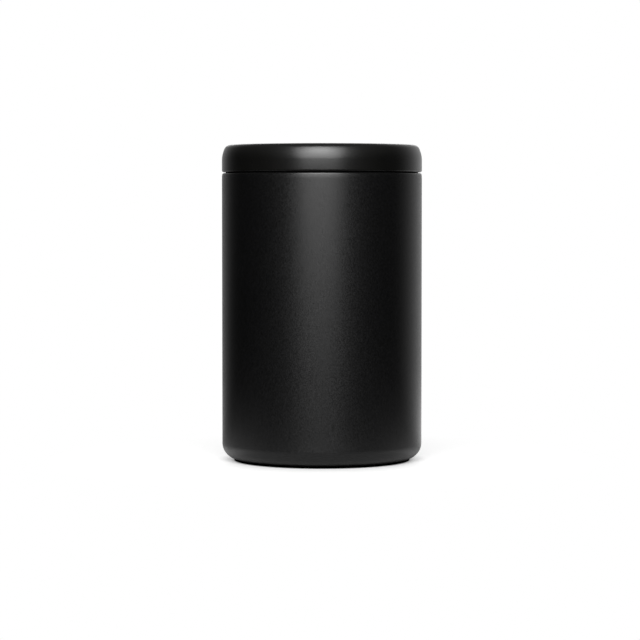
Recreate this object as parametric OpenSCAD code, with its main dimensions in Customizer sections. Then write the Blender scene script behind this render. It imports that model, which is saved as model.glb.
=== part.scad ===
// Coffee canister with a one-way valve.
// A double-walled steel canister is closed by two lids: a push-on cap, and under it an inner lid
// whose accordion lets a press plate down on to the beans. The plate carries the valve: gas and
// trapped air lift its seal and leave, and pulling its knob opens it by hand.
// Units are millimetres. The origin is on the table under the canister's middle, with +Z up.
// Drawn at rest: the cap on, the inner lid seated, the accordion let down, the valve closed.

/* [Canister] */
// Outside diameter of the body and the cap
body_d = 108; // [104:1:116]
// Height of the shoulder, where the seam under the cap lies
shoulder_z = 155.2; // [148:0.2:175]
// Radius of the body's bottom corner
base_round = 8.6; // [6:0.1:11]
// Radius of the shoulder's outer edge
shoulder_round = 0.9; // [0.9:0.1:1.6]
// Radius to which the wall leans in just under that edge
lean_r = 25; // [15:1:40]
// Thickness of the outer steel shell
shell_t = 0.8; // [0.6:0.1:0.9]
// Thickness of the inner steel liner
liner_t = 0.7; // [0.5:0.1:0.9]
// Vacuum gap between the shell's wall and the liner's
vacuum_gap = 3.3; // [2.7:0.1:4]
// Vacuum gap between the base plate and the liner's floor
floor_gap = 3.4; // [3:0.1:5]
// Radius of the liner's inside bottom corner
liner_round = 7.3; // [5:0.1:9]
// Step inwards from the liner's wall to the mouth
neck_step = 1.7; // [1.3:0.1:2.4]
// Height over which the liner is drawn in to the mouth
neck_step_h = 4; // [3:0.5:6]

/* [Base] */
// Width of the shell's flat ring between its bottom corner and the recess
base_ring_w = 4; // [3:0.5:6]
// Depth of the recess in the base
recess_h = 1.5; // [1.2:0.1:2]
// Thickness of the welded base plate
base_plate_t = 0.8; // [0.6:0.1:1]
// How far the foot pad stands proud of the shell
foot_proud = 0.8; // [0.5:0.1:1.2]
// Radius of the dimple that holds the sealing bead
dimple_r = 4; // [3:0.5:6]
// Depth of that dimple
dimple_h = 1; // [0.8:0.1:1.2]
// Radius of the evacuation hole
port_r = 0.8; // [0.5:0.1:1]
// Radius of the getter's cup
getter_r = 5; // [4:0.5:6]
// Distance of the getter from the canister's axis
getter_x = 22; // [14:1:30]

/* [Cap] */
// Height of the cap
cap_h = 14.6; // [14.4:0.1:18]
// Gap between the cap and the shoulder
seam_gap = 0.5; // [0.4:0.1:0.8]
// Wall thickness of the cap
cap_t = 1.8; // [1.6:0.1:2]
// How far the cap's crown runs in from the side
crown_run = 4.6; // [4.5:0.1:5.2]
// How far the cap's crown drops from the top
crown_drop = 8.4; // [7.8:0.1:8.6]
// Radius of the cap's lower edge
cap_edge_round = 1.2; // [0.8:0.1:1.3]
// Wall thickness of the cap's insert
insert_t = 1; // [0.8:0.1:1.2]
// Depth of the insert's snap bead and of its groove in the cap
snap_depth = 0.4; // [0.3:0.05:0.5]
// Gap between the insert and the inner lid's flange
headroom = 0.3; // [0.2:0.05:0.5]

/* [Inner lid] */
// Thickness of the flange that rests on the rim
flange_t = 1.3; // [1:0.1:1.8]
// Depth from the flange to the ledge that holds the accordion
seat_depth = 13.5; // [12.5:0.1:16]
// Wall thickness of the skirt
skirt_t = 2; // [1.8:0.1:2.4]
// Gap between the skirt and the mouth
seat_clear = 0.6; // [0.5:0.05:0.9]
// Width of the ledge
ledge_w = 3.4; // [3:0.1:4]
// Thickness of the ledge
ledge_t = 1.4; // [1.2:0.1:1.8]
// Height of the ring that clamps the accordion to the ledge
clamp_h = 2.2; // [2:0.1:3]

/* [Seals] */
// Thickness of a lip seal's band
seal_band_t = 1.1; // [0.9:0.1:1.2]
// Height of a lip seal
seal_h = 4.8; // [4.5:0.1:5.2]
// Number of lips on each lip seal
seal_lips = 3; // [2:1:4]

/* [Accordion] */
// Number of folds
fold_n = 5; // [4:1:6]
// Height of a fold when the accordion is let down
fold_pitch = 12; // [10:0.5:13]
// Height of a fold when the accordion is pushed together
fold_closed = 3; // [2.8:0.1:3.4]
// Depth of the folds
fold_depth = 8.4; // [7.4:0.1:9]
// Radius of the folds' middle surface at their crests
fold_round = 1.2; // [1:0.1:1.4]
// Wall thickness of the accordion
fold_t = 1; // [0.8:0.1:1.2]
// Thickness of the accordion's clamped beads
bead_t = 1.4; // [1.2:0.1:1.8]

/* [Press plate] */
// Thickness of the bottom plate, which meets the beans
bottom_plate_t = 2; // [1.6:0.1:2.6]
// Thickness of the press plate's floor
plate_t = 1.6; // [1.4:0.1:2]
// Height of the press plate's rim above its floor
plate_rim_h = 4.5; // [3:0.1:6]
// Thickness of that rim
plate_rim_t = 1.5; // [1.2:0.1:2]
// Number of ribs under the press plate
rib_n = 12; // [8:1:16]
// Thickness of a rib
rib_t = 1.2; // [1:0.1:1.6]

/* [Valve] */
// Radius of the valve's port through the press plate
valve_port_r = 4.5; // [4:0.1:5]
// Radius to the middle of the raised seat round the port
valve_seat_r = 6.4; // [6.2:0.1:6.6]
// Height of the raised seat
valve_seat_h = 0.6; // [0.5:0.1:1]
// Radius of the valve's silicone seal
valve_seal_r = 8; // [7.8:0.1:8.4]
// Thickness of that seal
valve_seal_t = 1.2; // [1:0.1:1.6]
// How far the valve lifts
valve_lift = 3; // [2.6:0.1:4.5]
// Outside radius of the cage over the valve
cage_r = 11.5; // [11.2:0.1:12.5]
// Wall thickness of the cage
cage_t = 1.4; // [1.2:0.1:1.6]
// Number of vent windows round the cage
window_n = 6; // [4:2:8]
// Width of a vent window
window_w = 4; // [3:0.1:4.5]
// Radius of the valve's stem
stem_r = 2; // [1.8:0.1:2.2]
// Radial clearance between the stem and its guide, through which gas also passes
stem_clear = 0.3; // [0.3:0.05:0.5]
// Diameter of the spring's wire
wire_d = 0.6; // [0.5:0.1:0.7]
// Mean radius of the spring's coils
coil_r = 5; // [4.9:0.1:5.4]
// Number of the spring's turns, with its flat ends
coil_n = 4; // [3:1:4]
// Radius of the pull knob
knob_r = 10.5; // [9:0.5:12]
// Height of the pull knob
knob_h = 9; // [8:0.5:11]
// Number of finger flutes round the knob
flute_n = 12; // [8:1:16]

/* [Hidden] */
$fn = 96;

// Clearances: a snug fit, a silicone lip short of its wall, a soft bead in its seat, faces that meet
fit_gap = 0.1;
lip_gap = 0.3;
face_gap = 0.05;
seat_gap = 0.2;

// Canister: radii from the outside in, then heights from the table up
body_r = body_d / 2;
liner_r = body_r - shell_t - vacuum_gap - liner_t;
mouth_r = liner_r - neck_step;
neck_r = mouth_r + liner_t + shell_t;
lip_r = (liner_t + shell_t) / 2;
neck_fillet = 0.8;
lean_turn = 6;
recess_r = body_r - base_round - base_ring_w;
base_z = foot_proud + recess_h;
base_top_z = base_z + base_plate_t;
floor_z = base_top_z + floor_gap + liner_t;

// Cap: its two crown arcs turn by crown_turn at the side and by the rest at the top. Its insert stops
// on the shoulder, which keeps the seam open and shows as the seam's back
cap_z = shoulder_z + seam_gap;
cap_top_z = cap_z + cap_h;
crown_turn = 25;
crown_spread = (crown_drop - crown_run) / (sin(crown_turn) - 1 + cos(crown_turn));
crown_top_r = crown_run - crown_spread * (1 - cos(crown_turn));
crown_side_r = crown_top_r + crown_spread;
insert_off = cap_t + fit_gap;
insert_z = shoulder_z + face_gap;
snap_z = insert_z + 2.4;
snap_h = 1;
cap_lip_h = 1.1;
cap_seal_z = insert_z + cap_lip_h + face_gap;

// Neck: its height leaves room for the inner lid's flange under the cap's insert
flange_top_z = cap_top_z - insert_off - insert_t - headroom;
flange_z = flange_top_z - flange_t;
rim_z = flange_z - seat_gap - lip_r;

// Inner lid
seat_r = mouth_r - seat_clear;
skirt_in_r = seat_r - skirt_t;
ledge_in_r = skirt_in_r - ledge_w;
ledge_z = flange_z - seat_depth;
clamp_z = ledge_z - bead_t - clamp_h;
seat_seal_z = flange_z - 3 - seal_h;

// Accordion: the arcs' centres, and the slope of the flanks between them
tube_r = ledge_in_r + 0.3;
crest_out_r = seat_r - 1.3;
crest_in_r = crest_out_r - fold_depth;
crest_out_c = crest_out_r - fold_t / 2 - fold_round;
crest_in_c = crest_in_r + fold_t / 2 + fold_round;
crest_span = norm([crest_out_c - crest_in_c, fold_pitch / 2]);
flank_slope = atan2(fold_pitch / 2, crest_out_c - crest_in_c) - asin(2 * fold_round / crest_span);
fold_top_z = clamp_z - fold_round - fold_t;
fold_end_z = fold_top_z - (fold_n - 0.5) * fold_pitch;
bead_w = 4.2;
bead_z = fold_end_z - fold_round - bead_t - 0.6;
plate_travel = (fold_n - 0.5) * (fold_pitch - fold_closed);

// Press plate and bottom plate: the bottom plate's top face lies under the accordion's bead
plate_z = bead_z + bead_t;
plate_top_z = plate_z + plate_t;
plate_r = crest_in_r - 0.7;
bottom_plate_r = seat_r - 2.7;
bottom_z = bead_z - bottom_plate_t;
snap_ring_t = 1.2;
snap_ring_r = crest_in_r - bead_w - lip_gap - snap_ring_t;
snap_ring_z = bead_z + bead_t / 2;
filter_r = 11;
filter_t = 0.3;
filter_hole_r = 0.45;
grille_hole_r = 0.9;

// Valve, from the press plate's floor up
seal_z = plate_top_z + valve_seat_h + face_gap;
carrier_z = seal_z + valve_seal_t;
carrier_r = valve_seal_r - 0.6;
carrier_t = 1.6;
nub_r = 1.6;
spring_boss_r = coil_r - wire_d / 2 - 0.4;
spring_boss_h = 1;
stop_gap = 0.95;
guide_r = stem_r + stem_clear;
guide_h = 2;
cage_top_z = carrier_z + carrier_t + spring_boss_h + valve_lift + stop_gap + guide_h;
cage_h = cage_top_z - plate_top_z;
cage_roof_t = 1.6;
cage_foot_r = cage_r + 1.5;
cage_foot_t = 1.6;
collar_t = 1.4;
collar_h = 3.2;
knob_z = cage_top_z + cage_roof_t + 0.4;
knob_socket_h = 6;
spring_z = carrier_z + carrier_t + face_gap + wire_d / 2;
spring_top_z = cage_top_z - face_gap - wire_d / 2;

// Points on an arc about c, from one angle to another
function arc(c, r, from, to, n = 8) =
    [for (i = [0:n]) let (a = from + (to - from) * i / n) c + r * [cos(a), sin(a)]];

// The cap's crown, set in by off, from its side up to its flat top
function crown(off) = let (
    side_c = [body_r - crown_side_r, cap_top_z - crown_drop],
    top_c = side_c + crown_spread * [cos(crown_turn), sin(crown_turn)]
) concat(
    arc(side_c, crown_side_r - off, 0, crown_turn, 7),
    arc(top_c, crown_top_r - off, crown_turn, 90, 9)
);

function reversed(points) = [for (i = [len(points) - 1:-1:0]) points[i]];

// Half a cosine wave from [r0, z0] to [r1, z1], for metal drawn in over a short height
function drawn(r0, z0, r1, z1, n = 8) =
    [for (i = [0:n]) [r0 + (r1 - r0) * (1 - cos(180 * i / n)) / 2, z0 + (z1 - z0) * i / n]];

// The lips of a seal, root to tip and back, up a band from z; way is 1 for lips that point outwards
function lips(root_r, tip_r, z, way) = let (pitch = seal_h / seal_lips, droop = 0.25 * pitch) [
    for (i = [0:seal_lips - 1], p = [
        [root_r, 0.18], [tip_r, 0.30], [tip_r + 0.1 * way, 0.42], [tip_r, 0.54], [root_r, 0.78]
    ]) [p[0], z + i * pitch + p[1] * pitch]
];

// A solid turned about the canister's axis
module turned(profile) {
    rotate_extrude() polygon(profile);
}

// Outer shell, drawn in over the shoulder to the neck, and rolled in to the recess at the base
module outer_shell() {
    corner = [body_r - base_round, foot_proud + base_round];
    lean = (lean_r - shoulder_round) * [cos(lean_turn), sin(lean_turn)];
    shoulder = [body_r - lean_r + lean[0], shoulder_z - shoulder_round];
    side = shoulder - lean;
    neck = [neck_r + neck_fillet, shoulder_z + neck_fillet];
    color("#1c1c1d") turned(concat(
        [[neck_r, rim_z]],
        arc(neck, neck_fillet, 180, 270),
        arc(shoulder, shoulder_round, 90, lean_turn),
        arc(side, lean_r, lean_turn, 0, 4),
        arc(corner, base_round, 0, -90, 14),
        arc([recess_r + shell_t, foot_proud + shell_t], shell_t, -90, -180, 4),
        [[recess_r, base_top_z], [recess_r + shell_t, base_top_z], [recess_r + shell_t, foot_proud + shell_t]],
        arc(corner, base_round - shell_t, -90, 0, 14),
        arc(side, lean_r - shell_t, 0, lean_turn, 4),
        arc(shoulder, shoulder_round - shell_t, lean_turn, 90, 4),
        arc(neck, neck_fillet + shell_t, 270, 180),
        [[neck_r - shell_t, rim_z]]
    ));
}

// Inner liner, drawn in to the mouth and rolled over the neck as a lip
module inner_liner() {
    corner = [liner_r - liner_round, floor_z + liner_round];
    step_top_z = shoulder_z - 0.6;
    color("#c9c9c6") turned(concat(
        [[0, floor_z]],
        arc(corner, liner_round, -90, 0, 10),
        drawn(liner_r, step_top_z - neck_step_h, mouth_r, step_top_z),
        arc([mouth_r + lip_r, rim_z], lip_r, 180, 0),
        [[mouth_r + liner_t, rim_z]],
        drawn(mouth_r + liner_t, step_top_z, liner_r + liner_t, step_top_z - neck_step_h),
        arc(corner, liner_round + liner_t, 0, -90, 10),
        [[0, floor_z - liner_t]]
    ));
}

// Base plate, with the evacuation hole in a dimple
module base_plate() {
    slope_r = dimple_r + 1;
    color("#b8b8b5") turned([
        [port_r, base_z + dimple_h], [dimple_r, base_z + dimple_h], [slope_r, base_z], [recess_r, base_z],
        [recess_r, base_top_z], [slope_r, base_top_z], [dimple_r, base_top_z + dimple_h],
        [port_r, base_top_z + dimple_h]
    ]);
}

// Glass bead that closes the evacuation hole, inside the dimple
module sealing_bead() {
    bead_r = dimple_r - 0.8;
    color("#7d8f86") turned(concat(
        [[0, base_z + fit_gap]],
        [for (i = [1:6]) [bead_r * sin(15 * i), base_z + dimple_h - (dimple_h - fit_gap) * cos(15 * i)]],
        [[port_r, base_z + dimple_h], [port_r, base_top_z + dimple_h - 0.2], [0, base_top_z + dimple_h - 0.2]]
    ));
}

// Getter in the vacuum gap: a shallow cup welded to the base plate, and its pellet
module getter() {
    cup_h = 1.4;
    pellet_h = 1.9;
    color("#8c8c88") translate([getter_x, 0, base_top_z]) turned([
        [0, 0], [getter_r, 0], [getter_r, cup_h], [getter_r - 0.5, cup_h], [getter_r - 0.5, 0.5],
        [getter_r - 1, 0.5], [getter_r - 1, pellet_h - 0.4], [getter_r - 1.4, pellet_h], [0, pellet_h]
    ]);
}

// Foot pad in the recess, with two grooves in its tread
module foot_pad() {
    pad_r = recess_r - seat_gap;
    edge_r = 0.5;
    groove_w = 2;
    groove_h = 0.4;
    color("#161616") difference() {
        turned(concat([[0, 0]], arc([pad_r - edge_r, edge_r], edge_r, -90, 0, 4), [[pad_r, base_z], [0, base_z]]));
        for (r = [pad_r - 6, pad_r - 14])
            turned([[r - groove_w, -1], [r, -1], [r, groove_h], [r - groove_w, groove_h]]);
    }
}

// Cap: the moulded outer shell, with a groove inside for its insert
module cap_shell() {
    edge = [body_r - cap_edge_round, cap_z + cap_edge_round];
    groove_r = body_r - cap_t + snap_depth + fit_gap;
    groove_h = snap_h / 2 + fit_gap;
    color("#1a1a1b") difference() {
        turned(concat(
            arc(edge, cap_edge_round, -90, 0),
            crown(0),
            [[0, cap_top_z], [0, cap_top_z - cap_t]],
            reversed(crown(cap_t)),
            [[body_r - cap_t, cap_z]]
        ));
        turned([
            [body_r - cap_t - 1, snap_z - groove_h], [groove_r, snap_z - groove_h + 0.3],
            [groove_r, snap_z + groove_h - 0.3], [body_r - cap_t - 1, snap_z + groove_h]
        ]);
    }
}

// Insert snapped into the cap: it lines the cap and holds the seal between two lips
module cap_insert() {
    out_r = body_r - insert_off;
    in_r = out_r - insert_t;
    hold_r = in_r - seal_band_t;
    upper_z = cap_seal_z + seal_h + face_gap;
    color("#2a2a2b") turned(concat(
        [[hold_r, insert_z], [out_r - 0.4, insert_z], [out_r, insert_z + 0.4]],
        [[out_r, snap_z - snap_h / 2], [out_r + snap_depth, snap_z - 0.15],
         [out_r + snap_depth, snap_z + 0.15], [out_r, snap_z + snap_h / 2]],
        crown(insert_off),
        [[0, cap_top_z - insert_off], [0, cap_top_z - insert_off - insert_t]],
        [for (p = reversed(crown(insert_off + insert_t))) if (p[1] > upper_z + cap_lip_h + 0.4) p],
        [[hold_r, upper_z + cap_lip_h], [hold_r, upper_z],
         [in_r, upper_z], [in_r, cap_seal_z - face_gap], [hold_r, cap_seal_z - face_gap]]
    ));
}

// Lip seal inside the cap's insert, which grips the neck
module cap_seal() {
    band_r = body_r - insert_off - insert_t - face_gap;
    root_r = band_r - seal_band_t + 0.2;
    color("#3b3b3d") turned(concat(
        [[band_r, cap_seal_z], [band_r, cap_seal_z + seal_h], [root_r, cap_seal_z + seal_h]],
        reversed(lips(root_r, neck_r + lip_gap + 0.1, cap_seal_z, -1)),
        [[root_r, cap_seal_z]]
    ));
}

// Seat ring: the inner lid's frame, with its flange on the rim and its skirt in the mouth
module seat_ring() {
    groove_r = seat_r - seal_band_t;
    lead_in = 1.2;
    ledge_top_z = ledge_z + ledge_t;
    clamp_groove_z = clamp_z + clamp_h / 2;
    color("#232324") difference() {
        turned(concat(
            [[seat_r - 0.3, clamp_z - 0.4], [seat_r, clamp_z - 0.1], [seat_r, seat_seal_z - face_gap],
             [groove_r, seat_seal_z - face_gap], [groove_r, seat_seal_z + seal_h + face_gap],
             [seat_r, seat_seal_z + seal_h + face_gap], [seat_r, flange_z]],
            arc([neck_r - flange_t / 2, flange_z + flange_t / 2], flange_t / 2, -90, 90, 6),
            arc([skirt_in_r + lead_in, flange_top_z - lead_in], lead_in, 90, 180, 6),
            [[skirt_in_r, ledge_top_z + 1]],
            arc([skirt_in_r - 1, ledge_top_z + 1], 1, 0, -90, 4),
            [[skirt_in_r - 1, ledge_top_z]],
            arc([ledge_in_r + ledge_t / 2, ledge_z + ledge_t / 2], ledge_t / 2, 90, 270, 6),
            [[skirt_in_r, ledge_z], [skirt_in_r, clamp_z - 0.4]]
        ));
        turned([
            [skirt_in_r - 1, clamp_groove_z - 0.5], [skirt_in_r + snap_depth, clamp_groove_z - 0.3],
            [skirt_in_r + snap_depth, clamp_groove_z + 0.3], [skirt_in_r - 1, clamp_groove_z + 0.5]
        ]);
    }
}

// Lip seal round the inner lid's skirt, which wipes the mouth
module seat_seal() {
    band_r = seat_r - seal_band_t + face_gap;
    color("#6f7173") turned(concat(
        [[band_r, seat_seal_z], [seat_r - 0.2, seat_seal_z]],
        lips(seat_r - 0.2, mouth_r - lip_gap - 0.1, seat_seal_z, 1),
        [[seat_r - 0.2, seat_seal_z + seal_h], [band_r, seat_seal_z + seal_h]]
    ));
}

// Ring that snaps into the skirt and clamps the accordion's top bead under the ledge
module clamp_ring() {
    out_r = skirt_in_r - fit_gap;
    in_r = tube_r + fit_gap;
    mid_z = clamp_z + clamp_h / 2;
    color("#29292a") turned([
        [in_r + 0.3, clamp_z], [out_r - 0.3, clamp_z], [out_r, clamp_z + 0.3], [out_r, mid_z - 0.4],
        [out_r + snap_depth, mid_z - 0.2], [out_r + snap_depth, mid_z + 0.2], [out_r, mid_z + 0.4],
        [out_r, clamp_z + clamp_h], [in_r, clamp_z + clamp_h], [in_r, clamp_z + 0.3]
    ]);
}

// One face of the accordion's folds, from the top down: side is 1 outside and -1 inside
function fold_face(side) = [
    for (i = [0:2 * fold_n - 1]) let (
        outward = i % 2 == 0,
        c = [outward ? crest_out_c : crest_in_c, fold_top_z - i * fold_pitch / 2],
        r = fold_round + (outward ? side : -side) * fold_t / 2,
        from = outward ? 90 - flank_slope : 90 + flank_slope,
        to = outward ? flank_slope - 90 : (i == 2 * fold_n - 1 ? 180 : 270 - flank_slope)
    ) each arc(c, r, from, to, 5)
];

// Accordion: its top bead turns out under the ledge, its bottom bead turns in under the press plate
module accordion() {
    wall_r = crest_in_r + fold_t;
    color("#57585a") turned(concat(
        [[tube_r, ledge_z - bead_t], [tube_r, clamp_z]],
        fold_face(1),
        [[wall_r, bead_z + 0.4], [wall_r - 0.4, bead_z], [crest_in_r - bead_w, bead_z],
         [crest_in_r - bead_w, bead_z + bead_t], [crest_in_r, bead_z + bead_t]],
        reversed(fold_face(-1)),
        [[tube_r - fold_t, clamp_z], [tube_r - fold_t, ledge_z], [skirt_in_r - fit_gap, ledge_z],
         [skirt_in_r - fit_gap, ledge_z - bead_t]]
    ));
}

// Press plate: a dish that a hand pushes down, with the valve's seat and collar at its middle
module press_plate() {
    rim_in_r = plate_r - plate_rim_t;
    rim_top_z = plate_top_z + plate_rim_h;
    dish_round = 2.5;
    collar_in_r = cage_foot_r + fit_gap;
    lip_w = 0.9;
    color("#1f1f20") {
        turned(concat(
            [[valve_port_r, plate_z], [snap_ring_r, plate_z], [snap_ring_r, snap_ring_z + 0.35],
             [snap_ring_r + snap_depth, snap_ring_z + 0.15], [snap_ring_r + snap_depth, snap_ring_z - 0.15],
             [snap_ring_r, snap_ring_z - 0.35], [snap_ring_r, bead_z + face_gap],
             [snap_ring_r + snap_ring_t - 0.3, bead_z + face_gap], [snap_ring_r + snap_ring_t, bead_z + 0.35],
             [snap_ring_r + snap_ring_t, plate_z], [plate_r, plate_z]],
            arc([plate_r - plate_rim_t / 2, rim_top_z - plate_rim_t / 2], plate_rim_t / 2, 0, 180, 6),
            arc([rim_in_r - dish_round, plate_top_z + dish_round], dish_round, 0, -90, 6),
            [[collar_in_r + collar_t + 1, plate_top_z], [collar_in_r + collar_t, plate_top_z + 1]],
            arc([collar_in_r + collar_t / 2, plate_top_z + collar_h - collar_t / 2], collar_t / 2, 0, 180, 6),
            [[collar_in_r, plate_top_z + cage_foot_t + 0.7], [collar_in_r - snap_depth, plate_top_z + cage_foot_t + 0.4],
             [collar_in_r - snap_depth, plate_top_z + cage_foot_t + 0.25],
             [collar_in_r, plate_top_z + cage_foot_t + face_gap], [collar_in_r, plate_top_z],
             [valve_seat_r + lip_w, plate_top_z],
             [valve_seat_r + lip_w / 2, plate_top_z + valve_seat_h],
             [valve_seat_r - lip_w / 2, plate_top_z + valve_seat_h], [valve_seat_r - lip_w, plate_top_z],
             [valve_port_r, plate_top_z]]
        ));
        for (i = [0:rib_n - 1])
            rotate(360 * (i + 0.5) / rib_n)
                translate([filter_r + 0.5, -rib_t / 2, bead_z + face_gap])
                    cube([snap_ring_r - filter_r - 2.2, rib_t, bead_t]);
    }
}

// Bottom plate: flat on the beans, with a grille under the valve and a snap ring for the press plate
module bottom_plate() {
    ring_r = snap_ring_r - face_gap;
    ring_t = 1.2;
    support_r = filter_r - 0.5;
    support_top_z = plate_z - filter_t - face_gap;
    color("#262627") difference() {
        union() {
            turned(concat(
                [[0, bottom_z + 0.6], [bottom_plate_r - 12, bottom_z]],
                arc([bottom_plate_r - 0.9, bottom_z + 0.9], 0.9, -90, 0, 4),
                [[bottom_plate_r, bead_z], [0, bead_z]]
            ));
            turned([
                [support_r - 1.3, bead_z - 0.5], [support_r, bead_z - 0.5],
                [support_r, support_top_z], [support_r - 1.3, support_top_z]
            ]);
            turned([
                [ring_r - ring_t, bead_z - 0.5], [ring_r, bead_z - 0.5], [ring_r, snap_ring_z - 0.3],
                [ring_r + snap_depth, snap_ring_z - 0.1], [ring_r + snap_depth, snap_ring_z + 0.1],
                [ring_r, snap_ring_z + 0.3], [ring_r, plate_z - fit_gap], [ring_r - ring_t, plate_z - fit_gap]
            ]);
        }
        for (ring = [[0, 1], [3.2, 6], [6.3, 12]], i = [0:ring[1] - 1])
            rotate(360 * i / ring[1]) translate([ring[0], 0, bottom_z - 1])
                cylinder(r = grille_hole_r, h = bottom_plate_t + 2, $fn = 24);
    }
}

// Cage over the valve: its roof guides the stem, and gas leaves through its windows
module valve_cage() {
    in_r = cage_r - cage_t;
    window_h = cage_h - cage_foot_t - 3;
    roof_z = cage_top_z + cage_roof_t;
    color("#303031") difference() {
        turned(concat(
            [[in_r, plate_top_z + face_gap], [cage_foot_r, plate_top_z + face_gap],
             [cage_foot_r, plate_top_z + cage_foot_t], [cage_r + 0.4, plate_top_z + cage_foot_t],
             [cage_r, plate_top_z + cage_foot_t + 0.4]],
            arc([cage_r - 1.2, roof_z - 1.2], 1.2, 0, 90, 5),
            [[guide_r, roof_z], [guide_r, cage_top_z - guide_h], [spring_boss_r, cage_top_z - guide_h],
             [spring_boss_r, cage_top_z], [in_r - 0.8, cage_top_z], [in_r, cage_top_z - 0.8]]
        ));
        for (i = [0:window_n / 2 - 1])
            rotate(360 * i / window_n) translate([-cage_r - 1, -window_w / 2, plate_top_z + cage_foot_t + 1])
                cube([2 * cage_r + 2, window_w, window_h]);
    }
}

// Etched steel filter under the valve's port
module valve_filter() {
    color("#a9a9a6") translate([0, 0, plate_z - filter_t - face_gap / 2]) linear_extrude(filter_t - face_gap / 2)
        difference() {
            circle(filter_r);
            for (ring = [0:5], i = [0:max(6 * ring, 1) - 1])
                rotate(360 * i / max(6 * ring, 1)) translate([1.45 * ring, 0]) circle(filter_hole_r, $fn = 16);
        }
}

// The spring's wire: flat for half a turn at each end, and rising evenly between
coil_step = 360 / 8;
function coil_rise(turn) = min(max((turn - 0.5) / (coil_n - 1), 0), 1);
function coil_height(turn) = spring_z + (spring_top_z - spring_z) * coil_rise(turn);
coil_points = [for (i = [0:coil_n * 8]) let (a = i * coil_step)
    [coil_r * cos(a), coil_r * sin(a), coil_height(i / 8)]];
coil_gap = min([for (i = [0:len(coil_points) - 7], j = [i + 6:len(coil_points) - 1])
    norm(coil_points[i] - coil_points[j])]) - wire_d;

// Valve spring between the carrier and the cage's roof: one unbroken six-sided tube
module valve_spring() {
    sides = 6;
    rings = [for (i = [0:len(coil_points) - 1]) let (a = i * coil_step)
        for (k = [0:sides - 1]) let (b = 360 * k / sides)
            coil_points[i] + wire_d / 2 * [cos(a) * cos(b), sin(a) * cos(b), sin(b)]];
    last = sides * (len(coil_points) - 1);
    color("#b4b4b2") polyhedron(rings, concat(
        [[for (k = [0:sides - 1]) sides - 1 - k]],
        [[for (k = [0:sides - 1]) last + k]],
        [for (i = [0:len(coil_points) - 2], k = [0:sides - 1], half = [0, 1]) let (
            near = i * sides, far = near + sides, next = (k + 1) % sides
        ) half == 0 ? [near + k, near + next, far + next] : [near + k, far + next, far + k]]
    ), convexity = 8);
}

// Valve stem: a carrier disc for the seal, and a shaft up through the guide
module valve_stem() {
    nub_head_r = nub_r + 0.7;
    shaft_top_z = knob_z + knob_socket_h;
    color("#3a3a3c") turned([
        [0, seal_z - 1.4], [nub_head_r - 0.5, seal_z - 1.4], [nub_head_r, seal_z - 0.7],
        [nub_head_r, seal_z - face_gap], [nub_r, seal_z - face_gap], [nub_r, carrier_z],
        [carrier_r, carrier_z], [carrier_r, carrier_z + carrier_t - 0.4],
        [carrier_r - 0.4, carrier_z + carrier_t], [spring_boss_r, carrier_z + carrier_t],
        [spring_boss_r, carrier_z + carrier_t + spring_boss_h - 0.3],
        [spring_boss_r - 0.3, carrier_z + carrier_t + spring_boss_h],
        [stem_r, carrier_z + carrier_t + spring_boss_h], [stem_r, shaft_top_z - 0.5],
        [stem_r - 0.5, shaft_top_z], [0, shaft_top_z]
    ]);
}

// Silicone seal on the stem's nub, which lies on the raised seat
module valve_seal() {
    color("#8a8c8e") turned([
        [nub_r, seal_z], [valve_seal_r - 0.3, seal_z], [valve_seal_r, seal_z + 0.3],
        [valve_seal_r, carrier_z - 0.3], [valve_seal_r - 0.3, carrier_z], [nub_r, carrier_z]
    ]);
}

// Pull knob on the stem, dished on top and fluted for the fingers
module valve_knob() {
    top_z = knob_z + knob_h;
    edge_r = 1.4;
    flute_r = 1.7;
    waist_r = knob_r - 2.5;
    color("#18181a") difference() {
        turned(concat(
            [[stem_r, knob_z], [waist_r - 0.6, knob_z], [waist_r, knob_z + 0.6]],
            drawn(waist_r, knob_z + 1.4, knob_r, knob_z + 4.4),
            arc([knob_r - edge_r, top_z - edge_r], edge_r, 0, 90, 6),
            [[knob_r - 3, top_z], [knob_r - 5, top_z - 0.5], [0, top_z - 0.8],
             [0, knob_z + knob_socket_h + fit_gap], [stem_r, knob_z + knob_socket_h + fit_gap]]
        ));
        for (i = [0:flute_n - 1])
            rotate(360 * i / flute_n) translate([knob_r + flute_r * 0.55, 0, knob_z - 1])
                cylinder(r = flute_r, h = knob_h + 2, $fn = 32);
    }
}

echo(str("Press plate travel: ", plate_travel, " mm"));
echo(str("Least gap between the valve spring's turns: ", coil_gap, " mm"));

outer_shell();
inner_liner();
base_plate();
sealing_bead();
getter();
foot_pad();
cap_shell();
cap_insert();
cap_seal();
seat_ring();
seat_seal();
clamp_ring();
accordion();
press_plate();
bottom_plate();
valve_cage();
valve_filter();
valve_spring();
valve_stem();
valve_seal();
valve_knob();
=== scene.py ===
"""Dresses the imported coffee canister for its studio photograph.

A powder-coated, double-walled steel canister stands on its rubber foot. A satin cap pushes on over its
neck. Under the cap an inner lid sits in the mouth, and its silicone accordion carries a press plate with a
one-way valve and a pull knob. Outlines are in millimetres, as (radius, height) about the canister's axis,
and every mesh is in metres in the CAD model's own frame.
"""

import logging
import math
from collections.abc import Sequence
from dataclasses import dataclass, field
from enum import Enum

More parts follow.
